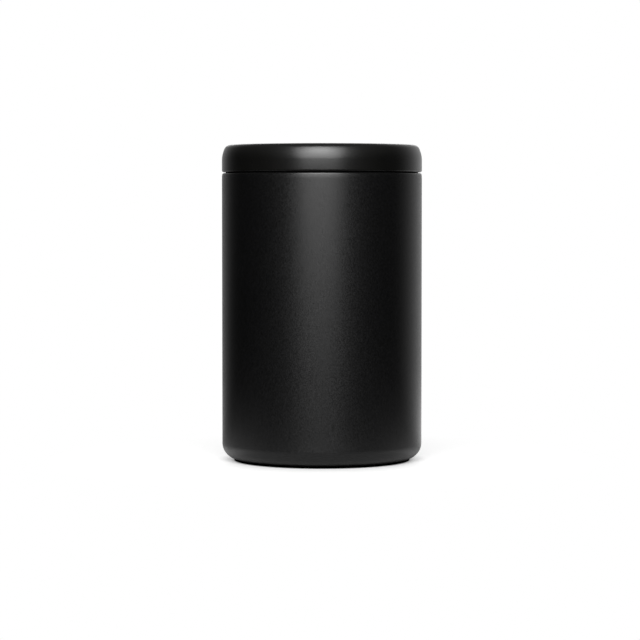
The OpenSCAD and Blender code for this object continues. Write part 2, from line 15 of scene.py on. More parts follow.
import bmesh
import bpy
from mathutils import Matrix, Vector

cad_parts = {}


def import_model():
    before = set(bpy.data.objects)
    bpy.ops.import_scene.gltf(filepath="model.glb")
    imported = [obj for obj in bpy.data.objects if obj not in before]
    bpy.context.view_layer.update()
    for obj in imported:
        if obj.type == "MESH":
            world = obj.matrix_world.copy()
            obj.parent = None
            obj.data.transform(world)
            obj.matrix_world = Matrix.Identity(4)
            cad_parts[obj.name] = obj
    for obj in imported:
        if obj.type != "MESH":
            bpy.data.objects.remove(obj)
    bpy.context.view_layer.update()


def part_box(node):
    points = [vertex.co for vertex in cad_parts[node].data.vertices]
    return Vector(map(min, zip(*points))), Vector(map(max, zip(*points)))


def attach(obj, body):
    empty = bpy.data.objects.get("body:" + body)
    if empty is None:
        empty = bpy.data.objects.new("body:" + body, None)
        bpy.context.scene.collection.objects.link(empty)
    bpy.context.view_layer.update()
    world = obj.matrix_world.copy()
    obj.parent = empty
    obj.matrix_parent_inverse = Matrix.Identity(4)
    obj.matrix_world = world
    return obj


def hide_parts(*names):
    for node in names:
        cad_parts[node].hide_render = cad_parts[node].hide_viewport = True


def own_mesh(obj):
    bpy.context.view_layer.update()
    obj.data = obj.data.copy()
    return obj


Point = tuple[float, float]
Socket = bpy.types.NodeSocket
Tree = bpy.types.NodeTree
Object = bpy.types.Object

MM = 0.001
AXIS = (0.0, 0.0, 1.0)
CENTRE = (0.0, 0.0, 0.0)

# Noise keeps mostly between these two values, so patterns are mapped from them
NOISE_SPAN = {"From Min": 0.3, "From Max": 0.7}
# The Mix node names its sockets alike for every kind of value. These are the numbers of its colour sockets
MIX_LOW = 6
MIX_HIGH = 7
MIX_RESULT = 2

log = logging.getLogger("canister")


class Body(Enum):
    """The rigid bodies that pieces ride on."""

    CANISTER = "canister"
    CAP = "cap"
    INNER_LID = "inner_lid"
    PRESS = "press"
    VALVE = "valve"


def arc(centre: Point, radius: float, start: float, end: float, steps: int = 12) -> list[Point]:
    """Points along an arc.

    Args:
        centre: The arc's centre.
        radius: Its radius.
        start: The angle of its first point, in degrees from the radial direction.
        end: The angle of its last point.
        steps: How many straight steps it is drawn with.

    Returns:
        The points, first and last included.
    """
    angles = [math.radians(start + (end - start) * i / steps) for i in range(steps + 1)]
    return [(centre[0] + radius * math.cos(a), centre[1] + radius * math.sin(a)) for a in angles]


def drawn(first: Point, last: Point, steps: int = 14) -> list[Point]:
    """Points along the half wave that metal takes where it is drawn in over a short height.

    Args:
        first: The point it starts from, where its wall is upright.
        last: The point it ends at, where its wall is upright again.
        steps: How many straight steps it is drawn with.

    Returns:
        The points, first and last included.
    """
    shares = [i / steps for i in range(steps + 1)]
    return [
        (first[0] + (last[0] - first[0]) * (1 - math.cos(math.pi * s)) / 2, first[1] + (last[1] - first[1]) * s)
        for s in shares
    ]


def linear(colour: str) -> tuple[float, float, float, float]:
    """Turns an sRGB hex colour such as "#1c1c1d" into the linear colour that a shader takes."""
    channels = [int(colour[i : i + 2], 16) / 255 for i in (1, 3, 5)]
    flat = [c / 12.92 if c <= 0.04045 else ((c + 0.055) / 1.055) ** 2.4 for c in channels]
    return (flat[0], flat[1], flat[2], 1.0)


def add_node(tree: Tree, kind: str, settings: dict | None = None, inputs: dict | None = None) -> bpy.types.Node:
    """Adds a shader node.

    Args:
        tree: The node tree it goes into.
        kind: Its type, such as "ShaderNodeBump".
        settings: Its own settings, by name.
        inputs: Its inputs by name or number. A socket is linked, and any other value is set.

    Returns:
        The node.
    """
    made = tree.nodes.new(kind)
    for name, value in (settings or {}).items():
        setattr(made, name, value)
    for name, value in (inputs or {}).items():
        if isinstance(value, Socket):
            tree.links.new(value, made.inputs[name])
        else:
            made.inputs[name].default_value = value
    return made


def millimetres(tree: Tree) -> Socket:
    """The place of each point of a piece in the canister's frame.

    Args:
        tree: The node tree.

    Returns:
        The place, in millimetres.
    """
    place = add_node(tree, "ShaderNodeTexCoord").outputs["Object"]
    scaled = add_node(tree, "ShaderNodeVectorMath", {"operation": "SCALE"}, {0: place, "Scale": 1 / MM})
    return scaled.outputs["Vector"]


@dataclass(frozen=True)
class Finish:
    """A material: its common name, its plain values, and the pattern that a subclass adds.

    Attributes:
        name: What the material is and how its surface was made.
        colour: Its colour, as an sRGB hex value.
        roughness: Its plain roughness.
        ior: Its index of refraction. A metal keeps the default.
        metallic: 1 for bare metal, else 0.
    """

    name: str
    colour: str
    roughness: float
    ior: float = 1.5
    metallic: float = 0.0

    def material(self) -> bpy.types.Material:
        """Makes the material, with its pattern.

        Returns:
            The material.
        """
        made = bpy.data.materials.new(self.name)
        made.use_nodes = True
        made.diffuse_color = linear(self.colour)
        tree = made.node_tree
        tree.nodes.clear()
        plain = {
            "Base Color": linear(self.colour),
            "Roughness": self.roughness,
            "IOR": self.ior,
            "Metallic": self.metallic,
        }
        surface = add_node(tree, "ShaderNodeBsdfPrincipled", inputs=plain)
        for name, driver in self.pattern(tree).items():
            tree.links.new(driver, surface.inputs[name])
        add_node(tree, "ShaderNodeOutputMaterial", inputs={"Surface": surface.outputs["BSDF"]})
        return made

    def pattern(self, tree: Tree) -> dict[str, Socket]:
        """What drives the surface's inputs, by their names. Each kind of finish has its own."""
        return {}


@dataclass(frozen=True)
class SpunMetal(Finish):
    """Bare steel polished or brushed while it turns, which leaves fine rings round the axis.

    Attributes:
        ring: Spacing of the rings, in millimetres.
        depth: Their depth, in millimetres.
        bloom: The sheet's darker colour where it is a little stained.
        stain: Width of the stains, in millimetres.
        gloss_below: How much smoother than the plain roughness the rings' floors are.
        gloss_above: How much rougher their crests are.
    """

    ring: float = 0.35
    depth: float = 0.0008
    bloom: str = "#a8a6a1"
    stain: float = 18.0
    gloss_below: float = 0.05
    gloss_above: float = 0.07

    def rings(self, tree: Tree, place: Socket) -> Socket:
        """Noise that changes along the radius and the height, and not round the axis.

        Args:
            tree: The node tree.
            place: The place of each point, in millimetres.

        Returns:
            The noise, from 0 to 1.
        """
        flat = add_node(tree, "ShaderNodeVectorMath", {"operation": "MULTIPLY"}, {0: place, 1: (1.0, 1.0, 0.0)})
        radius = add_node(tree, "ShaderNodeVectorMath", {"operation": "LENGTH"}, {0: flat.outputs["Vector"]})
        parts = add_node(tree, "ShaderNodeSeparateXYZ", inputs={0: place})
        across = {"X": radius.outputs["Value"], "Z": parts.outputs["Z"]}
        line = add_node(tree, "ShaderNodeCombineXYZ", inputs=across).outputs["Vector"]
        fine = {"Vector": line, "Scale": 1 / self.ring, "Detail": 3.0, "Roughness": 0.7}
        return add_node(tree, "ShaderNodeTexNoise", inputs=fine).outputs["Fac"]

    def pattern(self, tree: Tree) -> dict[str, Socket]:
        """Rings in the relief and the gloss, under a faint cloudy stain.

        Args:
            tree: The node tree.

        Returns:
            What drives the surface's inputs, by their names.
        """
        place = millimetres(tree)
        rings = self.rings(tree, place)
        smooth, rough = self.roughness - self.gloss_below, self.roughness + self.gloss_above
        wear = {"Value": rings, **NOISE_SPAN, "To Min": smooth, "To Max": rough}
        gloss = add_node(tree, "ShaderNodeMapRange", inputs=wear)
        slow = {"Vector": place, "Scale": 1 / self.stain, "Detail": 4.0}
        stain = add_node(tree, "ShaderNodeTexNoise", inputs=slow).outputs["Fac"]
        faint = add_node(tree, "ShaderNodeMapRange", inputs={"Value": stain, "From Min": 0.35, "From Max": 0.75})
        ends = {"Factor": faint.outputs["Result"], MIX_LOW: linear(self.colour), MIX_HIGH: linear(self.bloom)}
        colour = add_node(tree, "ShaderNodeMix", {"data_type": "RGBA"}, ends)
        cut = {"Height": rings, "Distance": self.depth * MM, "Strength": 1.0}
        relief = add_node(tree, "ShaderNodeBump", inputs=cut)
        return {
            "Base Color": colour.outputs[MIX_RESULT],
            "Roughness": gloss.outputs["Result"],
            "Normal": relief.outputs["Normal"],
        }


@dataclass(frozen=True)
class PowderCoat(SpunMetal):
    """Baked powder coat over spun steel, which stays bare above a masked edge.

    Attributes:
        light: The lighter colour of the grain's tops.
        grain: Width of the coat's grains, in millimetres.
        grain_depth: Their height, in millimetres.
        grain_gloss: How much rougher or smoother than the rest they are.
        peel: Width of the coat's slow ripple, in millimetres.
        peel_depth: Its height, in millimetres.
        thin: Height from which the coat flows thin and glossy over the shoulder, in millimetres.
        thin_over: Height over which it thins, in millimetres.
        thin_roughness: Its roughness there.
        edge: Height of the masked edge, in millimetres.
        edge_over: Height over which the coat ends, in millimetres.
        steel: Colour of the bare steel above it.
        steel_roughness: Its roughness.
    """

    light: str = "#0d0d0e"
    grain: float = 0.75
    grain_depth: float = 0.02
    grain_gloss: float = 0.08
    peel: float = 2.4
    peel_depth: float = 0.006
    thin: float = 154.3
    thin_over: float = 0.4
    thin_roughness: float = 0.2
    edge: float = 156.06
    edge_over: float = 0.08
    steel: str = "#b9b6b0"
    steel_roughness: float = 0.3

    def colours(self, tree: Tree, grain: Socket, bare: Socket) -> Socket:
        """Coat that is lighter on its grains' tops, and steel where it is bare.

        Args:
            tree: The node tree.
            grain: The coat's grain, from 0 to 1.
            bare: 1 where the steel is bare, and 0 on the coat.

        Returns:
            The colour.
        """
        tops = add_node(tree, "ShaderNodeMapRange", inputs={"Value": grain, **NOISE_SPAN}).outputs["Result"]
        ends = {"Factor": tops, MIX_LOW: linear(self.colour), MIX_HIGH: linear(self.light)}
        coat = add_node(tree, "ShaderNodeMix", {"data_type": "RGBA"}, ends).outputs[MIX_RESULT]
        ends = {"Factor": bare, MIX_LOW: coat, MIX_HIGH: linear(self.steel)}
        return add_node(tree, "ShaderNodeMix", {"data_type": "RGBA"}, ends).outputs[MIX_RESULT]

    def gloss(self, tree: Tree, grain: Socket, height: Socket, bare: Socket) -> Socket:
        """A dry coat, glossier where it is thin, and steel where it is bare.

        Args:
            tree: The node tree.
            grain: The coat's grain, from 0 to 1.
            height: The height, in millimetres.
            bare: 1 where the steel is bare, and 0 on the coat.

        Returns:
            The roughness.
        """
        smooth, rough = self.roughness - self.grain_gloss, self.roughness + self.grain_gloss
        grains = {"Value": grain, **NOISE_SPAN, "To Min": smooth, "To Max": rough}
        dry = add_node(tree, "ShaderNodeMapRange", inputs=grains).outputs["Result"]
        rise = {"Value": height, "From Min": self.thin, "From Max": self.thin + self.thin_over}
        thin = add_node(tree, "ShaderNodeMapRange", inputs=rise).outputs["Result"]
        flow = {"Value": thin, "To Min": dry, "To Max": self.thin_roughness}
        coat = add_node(tree, "ShaderNodeMapRange", inputs=flow).outputs["Result"]
        ends = {"Value": bare, "To Min": coat, "To Max": self.steel_roughness}
        return add_node(tree, "ShaderNodeMapRange", inputs=ends).outputs["Result"]

    def relief(self, tree: Tree, place: Socket, grain: Socket, bare: Socket) -> Socket:
        """The coat's ripple with its grain on top, and the steel's rings where it is bare.

        Args:
            tree: The node tree.
            place: The place of each point, in millimetres.
            grain: The coat's grain, from 0 to 1.
            bare: 1 where the steel is bare, and 0 on the coat.

        Returns:
            The bumped normal.
        """
        coated = add_node(tree, "ShaderNodeMath", {"operation": "SUBTRACT"}, {0: 1.0, 1: bare}).outputs["Value"]
        slow = {"Vector": place, "Scale": 1 / self.peel, "Detail": 1.0}
        peel = add_node(tree, "ShaderNodeTexNoise", inputs=slow).outputs["Fac"]
        ripple = {"Height": peel, "Distance": self.peel_depth * MM, "Strength": coated}
        under = add_node(tree, "ShaderNodeBump", inputs=ripple).outputs["Normal"]
        grains = {"Height": grain, "Distance": self.grain_depth * MM, "Strength": coated, "Normal": under}
        coat = add_node(tree, "ShaderNodeBump", inputs=grains).outputs["Normal"]
        cut = {"Height": self.rings(tree, place), "Distance": self.depth * MM, "Strength": bare, "Normal": coat}
        return add_node(tree, "ShaderNodeBump", inputs=cut).outputs["Normal"]

    def pattern(self, tree: Tree) -> dict[str, Socket]:
        """Grain and ripple below the masked edge, and spun steel above it.

        Args:
            tree: The node tree.

        Returns:
            What drives the surface's inputs, by their names.
        """
        place = millimetres(tree)
        fine = {"Vector": place, "Scale": 1 / self.grain, "Detail": 3.0, "Roughness": 0.6}
        grain = add_node(tree, "ShaderNodeTexNoise", inputs=fine).outputs["Fac"]
        height = add_node(tree, "ShaderNodeSeparateXYZ", inputs={0: place}).outputs["Z"]
        rise = {"Value": height, "From Min": self.edge, "From Max": self.edge + self.edge_over}
        bare = add_node(tree, "ShaderNodeMapRange", inputs=rise).outputs["Result"]
        return {
            "Base Color": self.colours(tree, grain, bare),
            "Metallic": bare,
            "Roughness": self.gloss(tree, grain, height, bare),
            "Normal": self.relief(tree, place, grain, bare),
        }


@dataclass(frozen=True)
class Moulding(Finish):
    """Injection-moulded plastic out of a spark-eroded tool, which leaves an even, very fine grain.

    Attributes:
        rubbed: The slightly different colour of patches that hands have rubbed.
        grain: Width of the grain, in millimetres.
        depth: Its height, in millimetres.
        patch: Width of the rubbed patches, in millimetres.
        wander: How much the roughness changes between patches.
    """

    rubbed: str = "#1d1d1d"
    grain: float = 0.5
    depth: float = 0.003
    patch: float = 14.0
    wander: float = 0.03

    def pattern(self, tree: Tree) -> dict[str, Socket]:
        """A fine grain in the relief, and slow patches in the gloss and colour.

        Args:
            tree: The node tree.

        Returns:
            What drives the surface's inputs, by their names.
        """
        place = millimetres(tree)
        fine = {"Vector": place, "Scale": 1 / self.grain, "Detail": 2.0}
        grain = add_node(tree, "ShaderNodeTexNoise", inputs=fine).outputs["Fac"]
        slow = {"Vector": place, "Scale": 1 / self.patch, "Detail": 3.0}
        patch = add_node(tree, "ShaderNodeTexNoise", inputs=slow).outputs["Fac"]
        smooth, rough = self.roughness - self.wander, self.roughness + self.wander
        wear = {"Value": patch, **NOISE_SPAN, "To Min": smooth, "To Max": rough}
        gloss = add_node(tree, "ShaderNodeMapRange", inputs=wear)
        ends = {"Factor": patch, MIX_LOW: linear(self.colour), MIX_HIGH: linear(self.rubbed)}
        colour = add_node(tree, "ShaderNodeMix", {"data_type": "RGBA"}, ends)
        skin = {"Height": grain, "Distance": self.depth * MM, "Strength": 1.0}
        relief = add_node(tree, "ShaderNodeBump", inputs=skin)
        return {
            "Base Color": colour.outputs[MIX_RESULT],
            "Roughness": gloss.outputs["Result"],
            "Normal": relief.outputs["Normal"],
        }


@dataclass(frozen=True)
class Silicone(Finish):
    """Moulded silicone rubber: matt, a little cloudy, and with the fine dust that it draws.

    Attributes:
        cloud: The colour of its paler clouds.
        cloud_size: Width of a cloud, in millimetres.
        cloud_gloss: How much rougher or smoother than the rest they are.
        dust: The colour of the dust.
        dust_size: Width of a dust speck, in millimetres.
        dust_share: How much of the dust's colour a speck takes on.
        depth: Height of its skin's grain, in millimetres.
    """

    cloud: str = "#646567"
    cloud_size: float = 9.0
    cloud_gloss: float = 0.05
    dust: str = "#8d8d8b"
    dust_size: float = 0.6
    dust_share: float = 0.5
    depth: float = 0.006

    def colours(self, tree: Tree, clouds: Socket, specks: Socket) -> Socket:
        """Clouded rubber under sparse specks of dust.

        Args:
            tree: The node tree.
            clouds: The clouds, from 0 to 1.
            specks: The specks, from 0 to 1.

        Returns:
            The colour.
        """
        pale = add_node(tree, "ShaderNodeMapRange", inputs={"Value": clouds, **NOISE_SPAN}).outputs["Result"]
        ends = {"Factor": pale, MIX_LOW: linear(self.colour), MIX_HIGH: linear(self.cloud)}
        rubber = add_node(tree, "ShaderNodeMix", {"data_type": "RGBA"}, ends).outputs[MIX_RESULT]
        # Only the noise's rare peaks stand out as specks
        peaks = {"Value": specks, "From Min": 0.7, "From Max": 0.8, "To Max": self.dust_share}
        dusty = add_node(tree, "ShaderNodeMapRange", inputs=peaks).outputs["Result"]
        ends = {"Factor": dusty, MIX_LOW: rubber, MIX_HIGH: linear(self.dust)}
        return add_node(tree, "ShaderNodeMix", {"data_type": "RGBA"}, ends).outputs[MIX_RESULT]

    def pattern(self, tree: Tree) -> dict[str, Socket]:
        """Clouds, sparse specks of dust, and a soft skin.

        Args:
            tree: The node tree.

        Returns:
            What drives the surface's inputs, by their names.
        """
        place = millimetres(tree)
        slow = {"Vector": place, "Scale": 1 / self.cloud_size, "Detail": 3.0}
        clouds = add_node(tree, "ShaderNodeTexNoise", inputs=slow).outputs["Fac"]
        fine = {"Vector": place, "Scale": 1 / self.dust_size, "Detail": 1.0}
        specks = add_node(tree, "ShaderNodeTexNoise", inputs=fine).outputs["Fac"]
        smooth, rough = self.roughness - self.cloud_gloss, self.roughness + self.cloud_gloss
        wear = {"Value": clouds, **NOISE_SPAN, "To Min": smooth, "To Max": rough}
        gloss = add_node(tree, "ShaderNodeMapRange", inputs=wear)
        skin = {"Height": specks, "Distance": self.depth * MM, "Strength": 1.0}
        relief = add_node(tree, "ShaderNodeBump", inputs=skin)
        return {
            "Base Color": self.colours(tree, clouds, specks),
            "Roughness": gloss.outputs["Result"],
            "Normal": relief.outputs["Normal"],
        }


@dataclass(frozen=True)
class Finishes:
    """Every finish on the canister."""

    # Polyester powder baked on steel: nearly black, with a fine dry grain that breaks up the highlight
    powder_coat: PowderCoat = PowderCoat("black_polyester_powder_coat", "#080808", 0.37, ior=1.6)
    # Electropolished 304 steel: bright and slightly warm, with the rings of its deep drawing left in it
    liner_steel: SpunMetal = SpunMetal("electropolished_304_steel", "#c4c2bd", 0.24, metallic=1.0)
    # Plain rolled 304 sheet, hidden under the foot
    base_steel: SpunMetal = SpunMetal("rolled_304_sheet", "#b4b2ad", 0.38, metallic=1.0, ring=0.5)
    # Sintered zirconium pellet in its cup: dark grey and dull
    getter_metal: SpunMetal = SpunMetal("sintered_zirconium", "#6f6e6b", 0.6, metallic=1.0, bloom="#565552")
    # Fired glass frit: grey-green, smooth and slightly lumpy
    frit: Moulding = Moulding("fired_glass_frit", "#5f6d66", 0.15, ior=1.55, rubbed="#6d7a73", depth=0.01)
    # ABS from a satin tool: an even black with a soft, clean highlight
    cap_abs: Moulding = Moulding("satin_moulded_abs", "#0e0e0d", 0.31, ior=1.63, rubbed="#121211", wander=0.015)
    # Polypropylene from a matt tool: a little greyer and duller than the cap
    insert_pp: Moulding = Moulding("matt_moulded_polypropylene", "#1d1d1e", 0.45, ior=1.49, rubbed="#232324")
    # Glass-filled nylon frame of the inner lid: satin black
    frame_nylon: Moulding = Moulding("satin_moulded_nylon", "#19191a", 0.36, ior=1.53, rubbed="#1f1f20")
    # Tritan plates that meet the beans: satin black with a slightly glossier skin
    plate_plastic: Moulding = Moulding("satin_moulded_copolyester", "#18181a", 0.33, ior=1.57, rubbed="#1f1f21")
    # Acetal cage and stem: a shade lighter, with a waxy look
    cage_acetal: Moulding = Moulding("machined_look_acetal", "#29292b", 0.4, ior=1.48, rubbed="#303032")
    # ABS knob with a slightly polished grip
    knob_abs: Moulding = Moulding("polished_grip_abs", "#151516", 0.26, ior=1.55, rubbed="#1b1b1c", patch=6.0)
    # Dark grey food silicone of the accordion
    accordion: Silicone = Silicone("charcoal_food_silicone", "#505153", 0.55, ior=1.41)
    # Paler silicone of the seals
    seal: Silicone = Silicone("grey_food_silicone", "#7c7e80", 0.5, ior=1.41, cloud="#8a8c8e", dust="#a3a3a1")
    # Black silicone inside the cap
    cap_seal: Silicone = Silicone("black_food_silicone", "#2b2b2d", 0.55, ior=1.41, cloud="#343436", dust="#5c5c5a")
    # Black rubber foot: dull, with scuffs that have gone grey
    foot: Silicone = Silicone("black_rubber_foot", "#161616", 0.7, ior=1.5, cloud="#202020", dust="#4a4a48")
    # Drawn stainless wire of the spring
    wire: SpunMetal = SpunMetal("drawn_302_wire", "#b9b8b4", 0.28, metallic=1.0, ring=0.25)
    # Etched steel mesh of the filter
    mesh: SpunMetal = SpunMetal("etched_304_foil", "#aeaca7", 0.35, metallic=1.0, ring=0.6)


class Bench:
    """Edit-mode work that the sub-assemblies share."""

    @staticmethod
    def clear() -> None:
        """Leaves nothing selected, so that an operator meets only what is picked next."""
        if bpy.context.object is not None and bpy.context.object.mode != "OBJECT":
            bpy.ops.object.mode_set(mode="OBJECT")
        bpy.ops.object.select_all(action="DESELECT")

    @staticmethod
    def pick(piece: Object) -> None:
        """Makes one piece the only selected and active one."""
        Bench.clear()
        piece.select_set(True)
        bpy.context.view_layer.objects.active = piece

    @staticmethod
    def turned(name: str, outline: Sequence[Point], steps: int = 180) -> Object:
        """Turns a closed outline about the canister's axis into a solid.

        The outline starts as a circle of as many points, which are moved to their places. An edge that
        lies on the axis would turn into nothing, so it is deleted before the spin.

        Args:
            name: The piece's name.
            outline: The outline's points, in millimetres.
            steps: How many steps make the full turn.

        Returns:
            The piece, closed, with its faces pointing outwards.
        """
        Bench.clear()
        bpy.ops.mesh.primitive_circle_add(vertices=len(outline), radius=MM, fill_type="NOTHING")
        piece = bpy.context.object
        piece.name = piece.data.name = name
        for vertex, (radius, height) in zip(piece.data.vertices, outline):
            vertex.co = (radius * MM, 0, height * MM)
        bpy.ops.object.mode_set(mode="EDIT")
        bpy.ops.mesh.select_all(action="DESELECT")
        mesh = bmesh.from_edit_mesh(piece.data)
        for edge in mesh.edges:
            edge.select_set(all(v.co.x < 1e-7 for v in edge.verts))
        if any(edge.select for edge in mesh.edges):
            bmesh.update_edit_mesh(piece.data)
            bpy.ops.mesh.delete(type="EDGE")
        bpy.ops.mesh.select_all(action="SELECT")
        bpy.ops.mesh.spin(steps=steps, angle=math.tau, use_auto_merge=True, center=CENTRE, axis=AXIS)
        return Bench.welded(piece)

    @staticmethod
    def welded(piece: Object) -> Object:
        """Merges a piece's doubled points and turns its faces outwards."""
        Bench.pick(piece)
        bpy.ops.object.mode_set(mode="EDIT")
        bpy.ops.mesh.select_all(action="SELECT")
        bpy.ops.mesh.remove_doubles(threshold=1e-7)
        bpy.ops.mesh.normals_make_consistent(inside=False)
        bpy.ops.object.mode_set(mode="OBJECT")
        return piece

    @staticmethod
    def softened(piece: Object, width: float, segments: int = 2, angle: float = 32.0) -> Object:
        """Rounds a piece's sharp edges with a bevel, as a tool or a press leaves them.

        Args:
            piece: The piece.
            width: The bevel's width, in millimetres.
            segments: How many faces the bevel has.
            angle: The least angle of an edge that is bevelled, in degrees.

        Returns:
            The piece.
        """
        Bench.pick(piece)
        bevel = piece.modifiers.new("edges", "BEVEL")
        bevel.width = width * MM
        bevel.segments = segments
        bevel.limit_method = "ANGLE"
        bevel.angle_limit = math.radians(angle)
        bevel.use_clamp_overlap = True
        bpy.ops.object.modifier_apply(modifier=bevel.name)
        return piece

    @staticmethod
    def smoothed(piece: Object, angle: float = 40.0) -> Object:
        """Shades a piece smooth, apart from edges sharper than angle degrees."""
        Bench.pick(piece)
        bpy.ops.object.shade_smooth_by_angle(angle=math.radians(angle))
        return piece

    @staticmethod
    def cut(piece: Object, cutters: Sequence[Object]) -> Object:
        """Cuts the cutters out of a piece, and deletes them."""
        joined = Bench.joined("cutter", cutters)
        Bench.pick(piece)
        away = piece.modifiers.new("cut", "BOOLEAN")
        away.operation = "DIFFERENCE"
        away.solver = "EXACT"
        away.object = joined
        bpy.ops.object.modifier_apply(modifier=away.name)
        bpy.data.objects.remove(joined)
        return piece

    @staticmethod
    def joined(name: str, pieces: Sequence[Object]) -> Object:
        """Joins pieces into the first of them, and names it."""
        Bench.pick(pieces[0])
        for other in pieces[1:]:
            other.select_set(True)
        if len(pieces) > 1:
            bpy.ops.object.join()
        whole = bpy.context.object
        whole.name = whole.data.name = name
        return whole

    @staticmethod
    def placed(piece: Object) -> Object:
        """Moves a piece's place, turn and scale into its mesh."""
        Bench.pick(piece)
        bpy.ops.object.transform_apply(location=True, rotation=True, scale=True)
        return piece

    @staticmethod
    def drill(radius: float, low: float, high: float, at: Point, sides: int = 32) -> Object:
        """An upright cutter of that radius between two heights, with its axis at a point (x, y)."""
        Bench.clear()
        place = (at[0] * MM, at[1] * MM, (low + high) / 2 * MM)
        bpy.ops.mesh.primitive_cylinder_add(
            vertices=sides, radius=radius * MM, depth=(high - low) * MM, location=place
        )
        return Bench.placed(bpy.context.object)

    @staticmethod
    def block(size: tuple[float, float, float], at: tuple[float, float, float], turn: float = 0.0) -> Object:
        """A block of that size in millimetres at a place, turned about the canister's axis by degrees."""
        Bench.clear()
        bpy.ops.mesh.primitive_cube_add(size=MM, location=Vector(at) * MM)
        made = bpy.context.object
        made.scale = size
        Bench.placed(made)
        made.rotation_euler = (0.0, 0.0, math.radians(turn))
        return Bench.placed(made)


def ring_of(count: int, radius: float, start: float = 0.0) -> list[Point]:
    """Places (x, y) of count things spaced evenly round the axis, the first at start degrees."""
    angles = [math.radians(start) + math.tau * i / count for i in range(count)]
    return [(radius * math.cos(a), radius * math.sin(a)) for a in angles]


def dressed(piece: Object, body: Body, slot: str, finish: Finish, *nodes: str) -> Object:
    """Gives a finished piece its material, its body and the CAD nodes that it stands for.

    Args:
        piece: The piece.
        body: The body that it moves with.
        slot: The record's material slot. It is not used.
        finish: Its finish.
        nodes: The CAD nodes that it replaces.

    Returns:
        The piece.
    """
    piece.data.materials.clear()
    piece.data.materials.append(shared(finish))
    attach(piece, body.value)
    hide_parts(*nodes)
    log.info("%s: %d faces, rides on %s", piece.name, len(piece.data.polygons), body.value)
    return piece


def shared(finish: Finish) -> bpy.types.Material:
    """The finish's material, made the first time that it is asked for."""
    found = bpy.data.materials.get(finish.name)
    return found if found is not None else finish.material()


def repainted(node: str, finish: Finish) -> None:
    """Gives a CAD node that stays in view a finish in place of its plain colour."""
    piece = bpy.data.objects[node]
    if not piece.material_slots:
        piece.data.materials.append(shared(finish))
    for material_slot in piece.material_slots:
        material_slot.material = shared(finish)
    log.info("%s: kept from the frame", node)


def height_of(node: str) -> tuple[float, float]:
    """Lowest and highest height of a CAD node, in millimetres."""
    low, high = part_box(node)
    return low.z / MM, high.z / MM


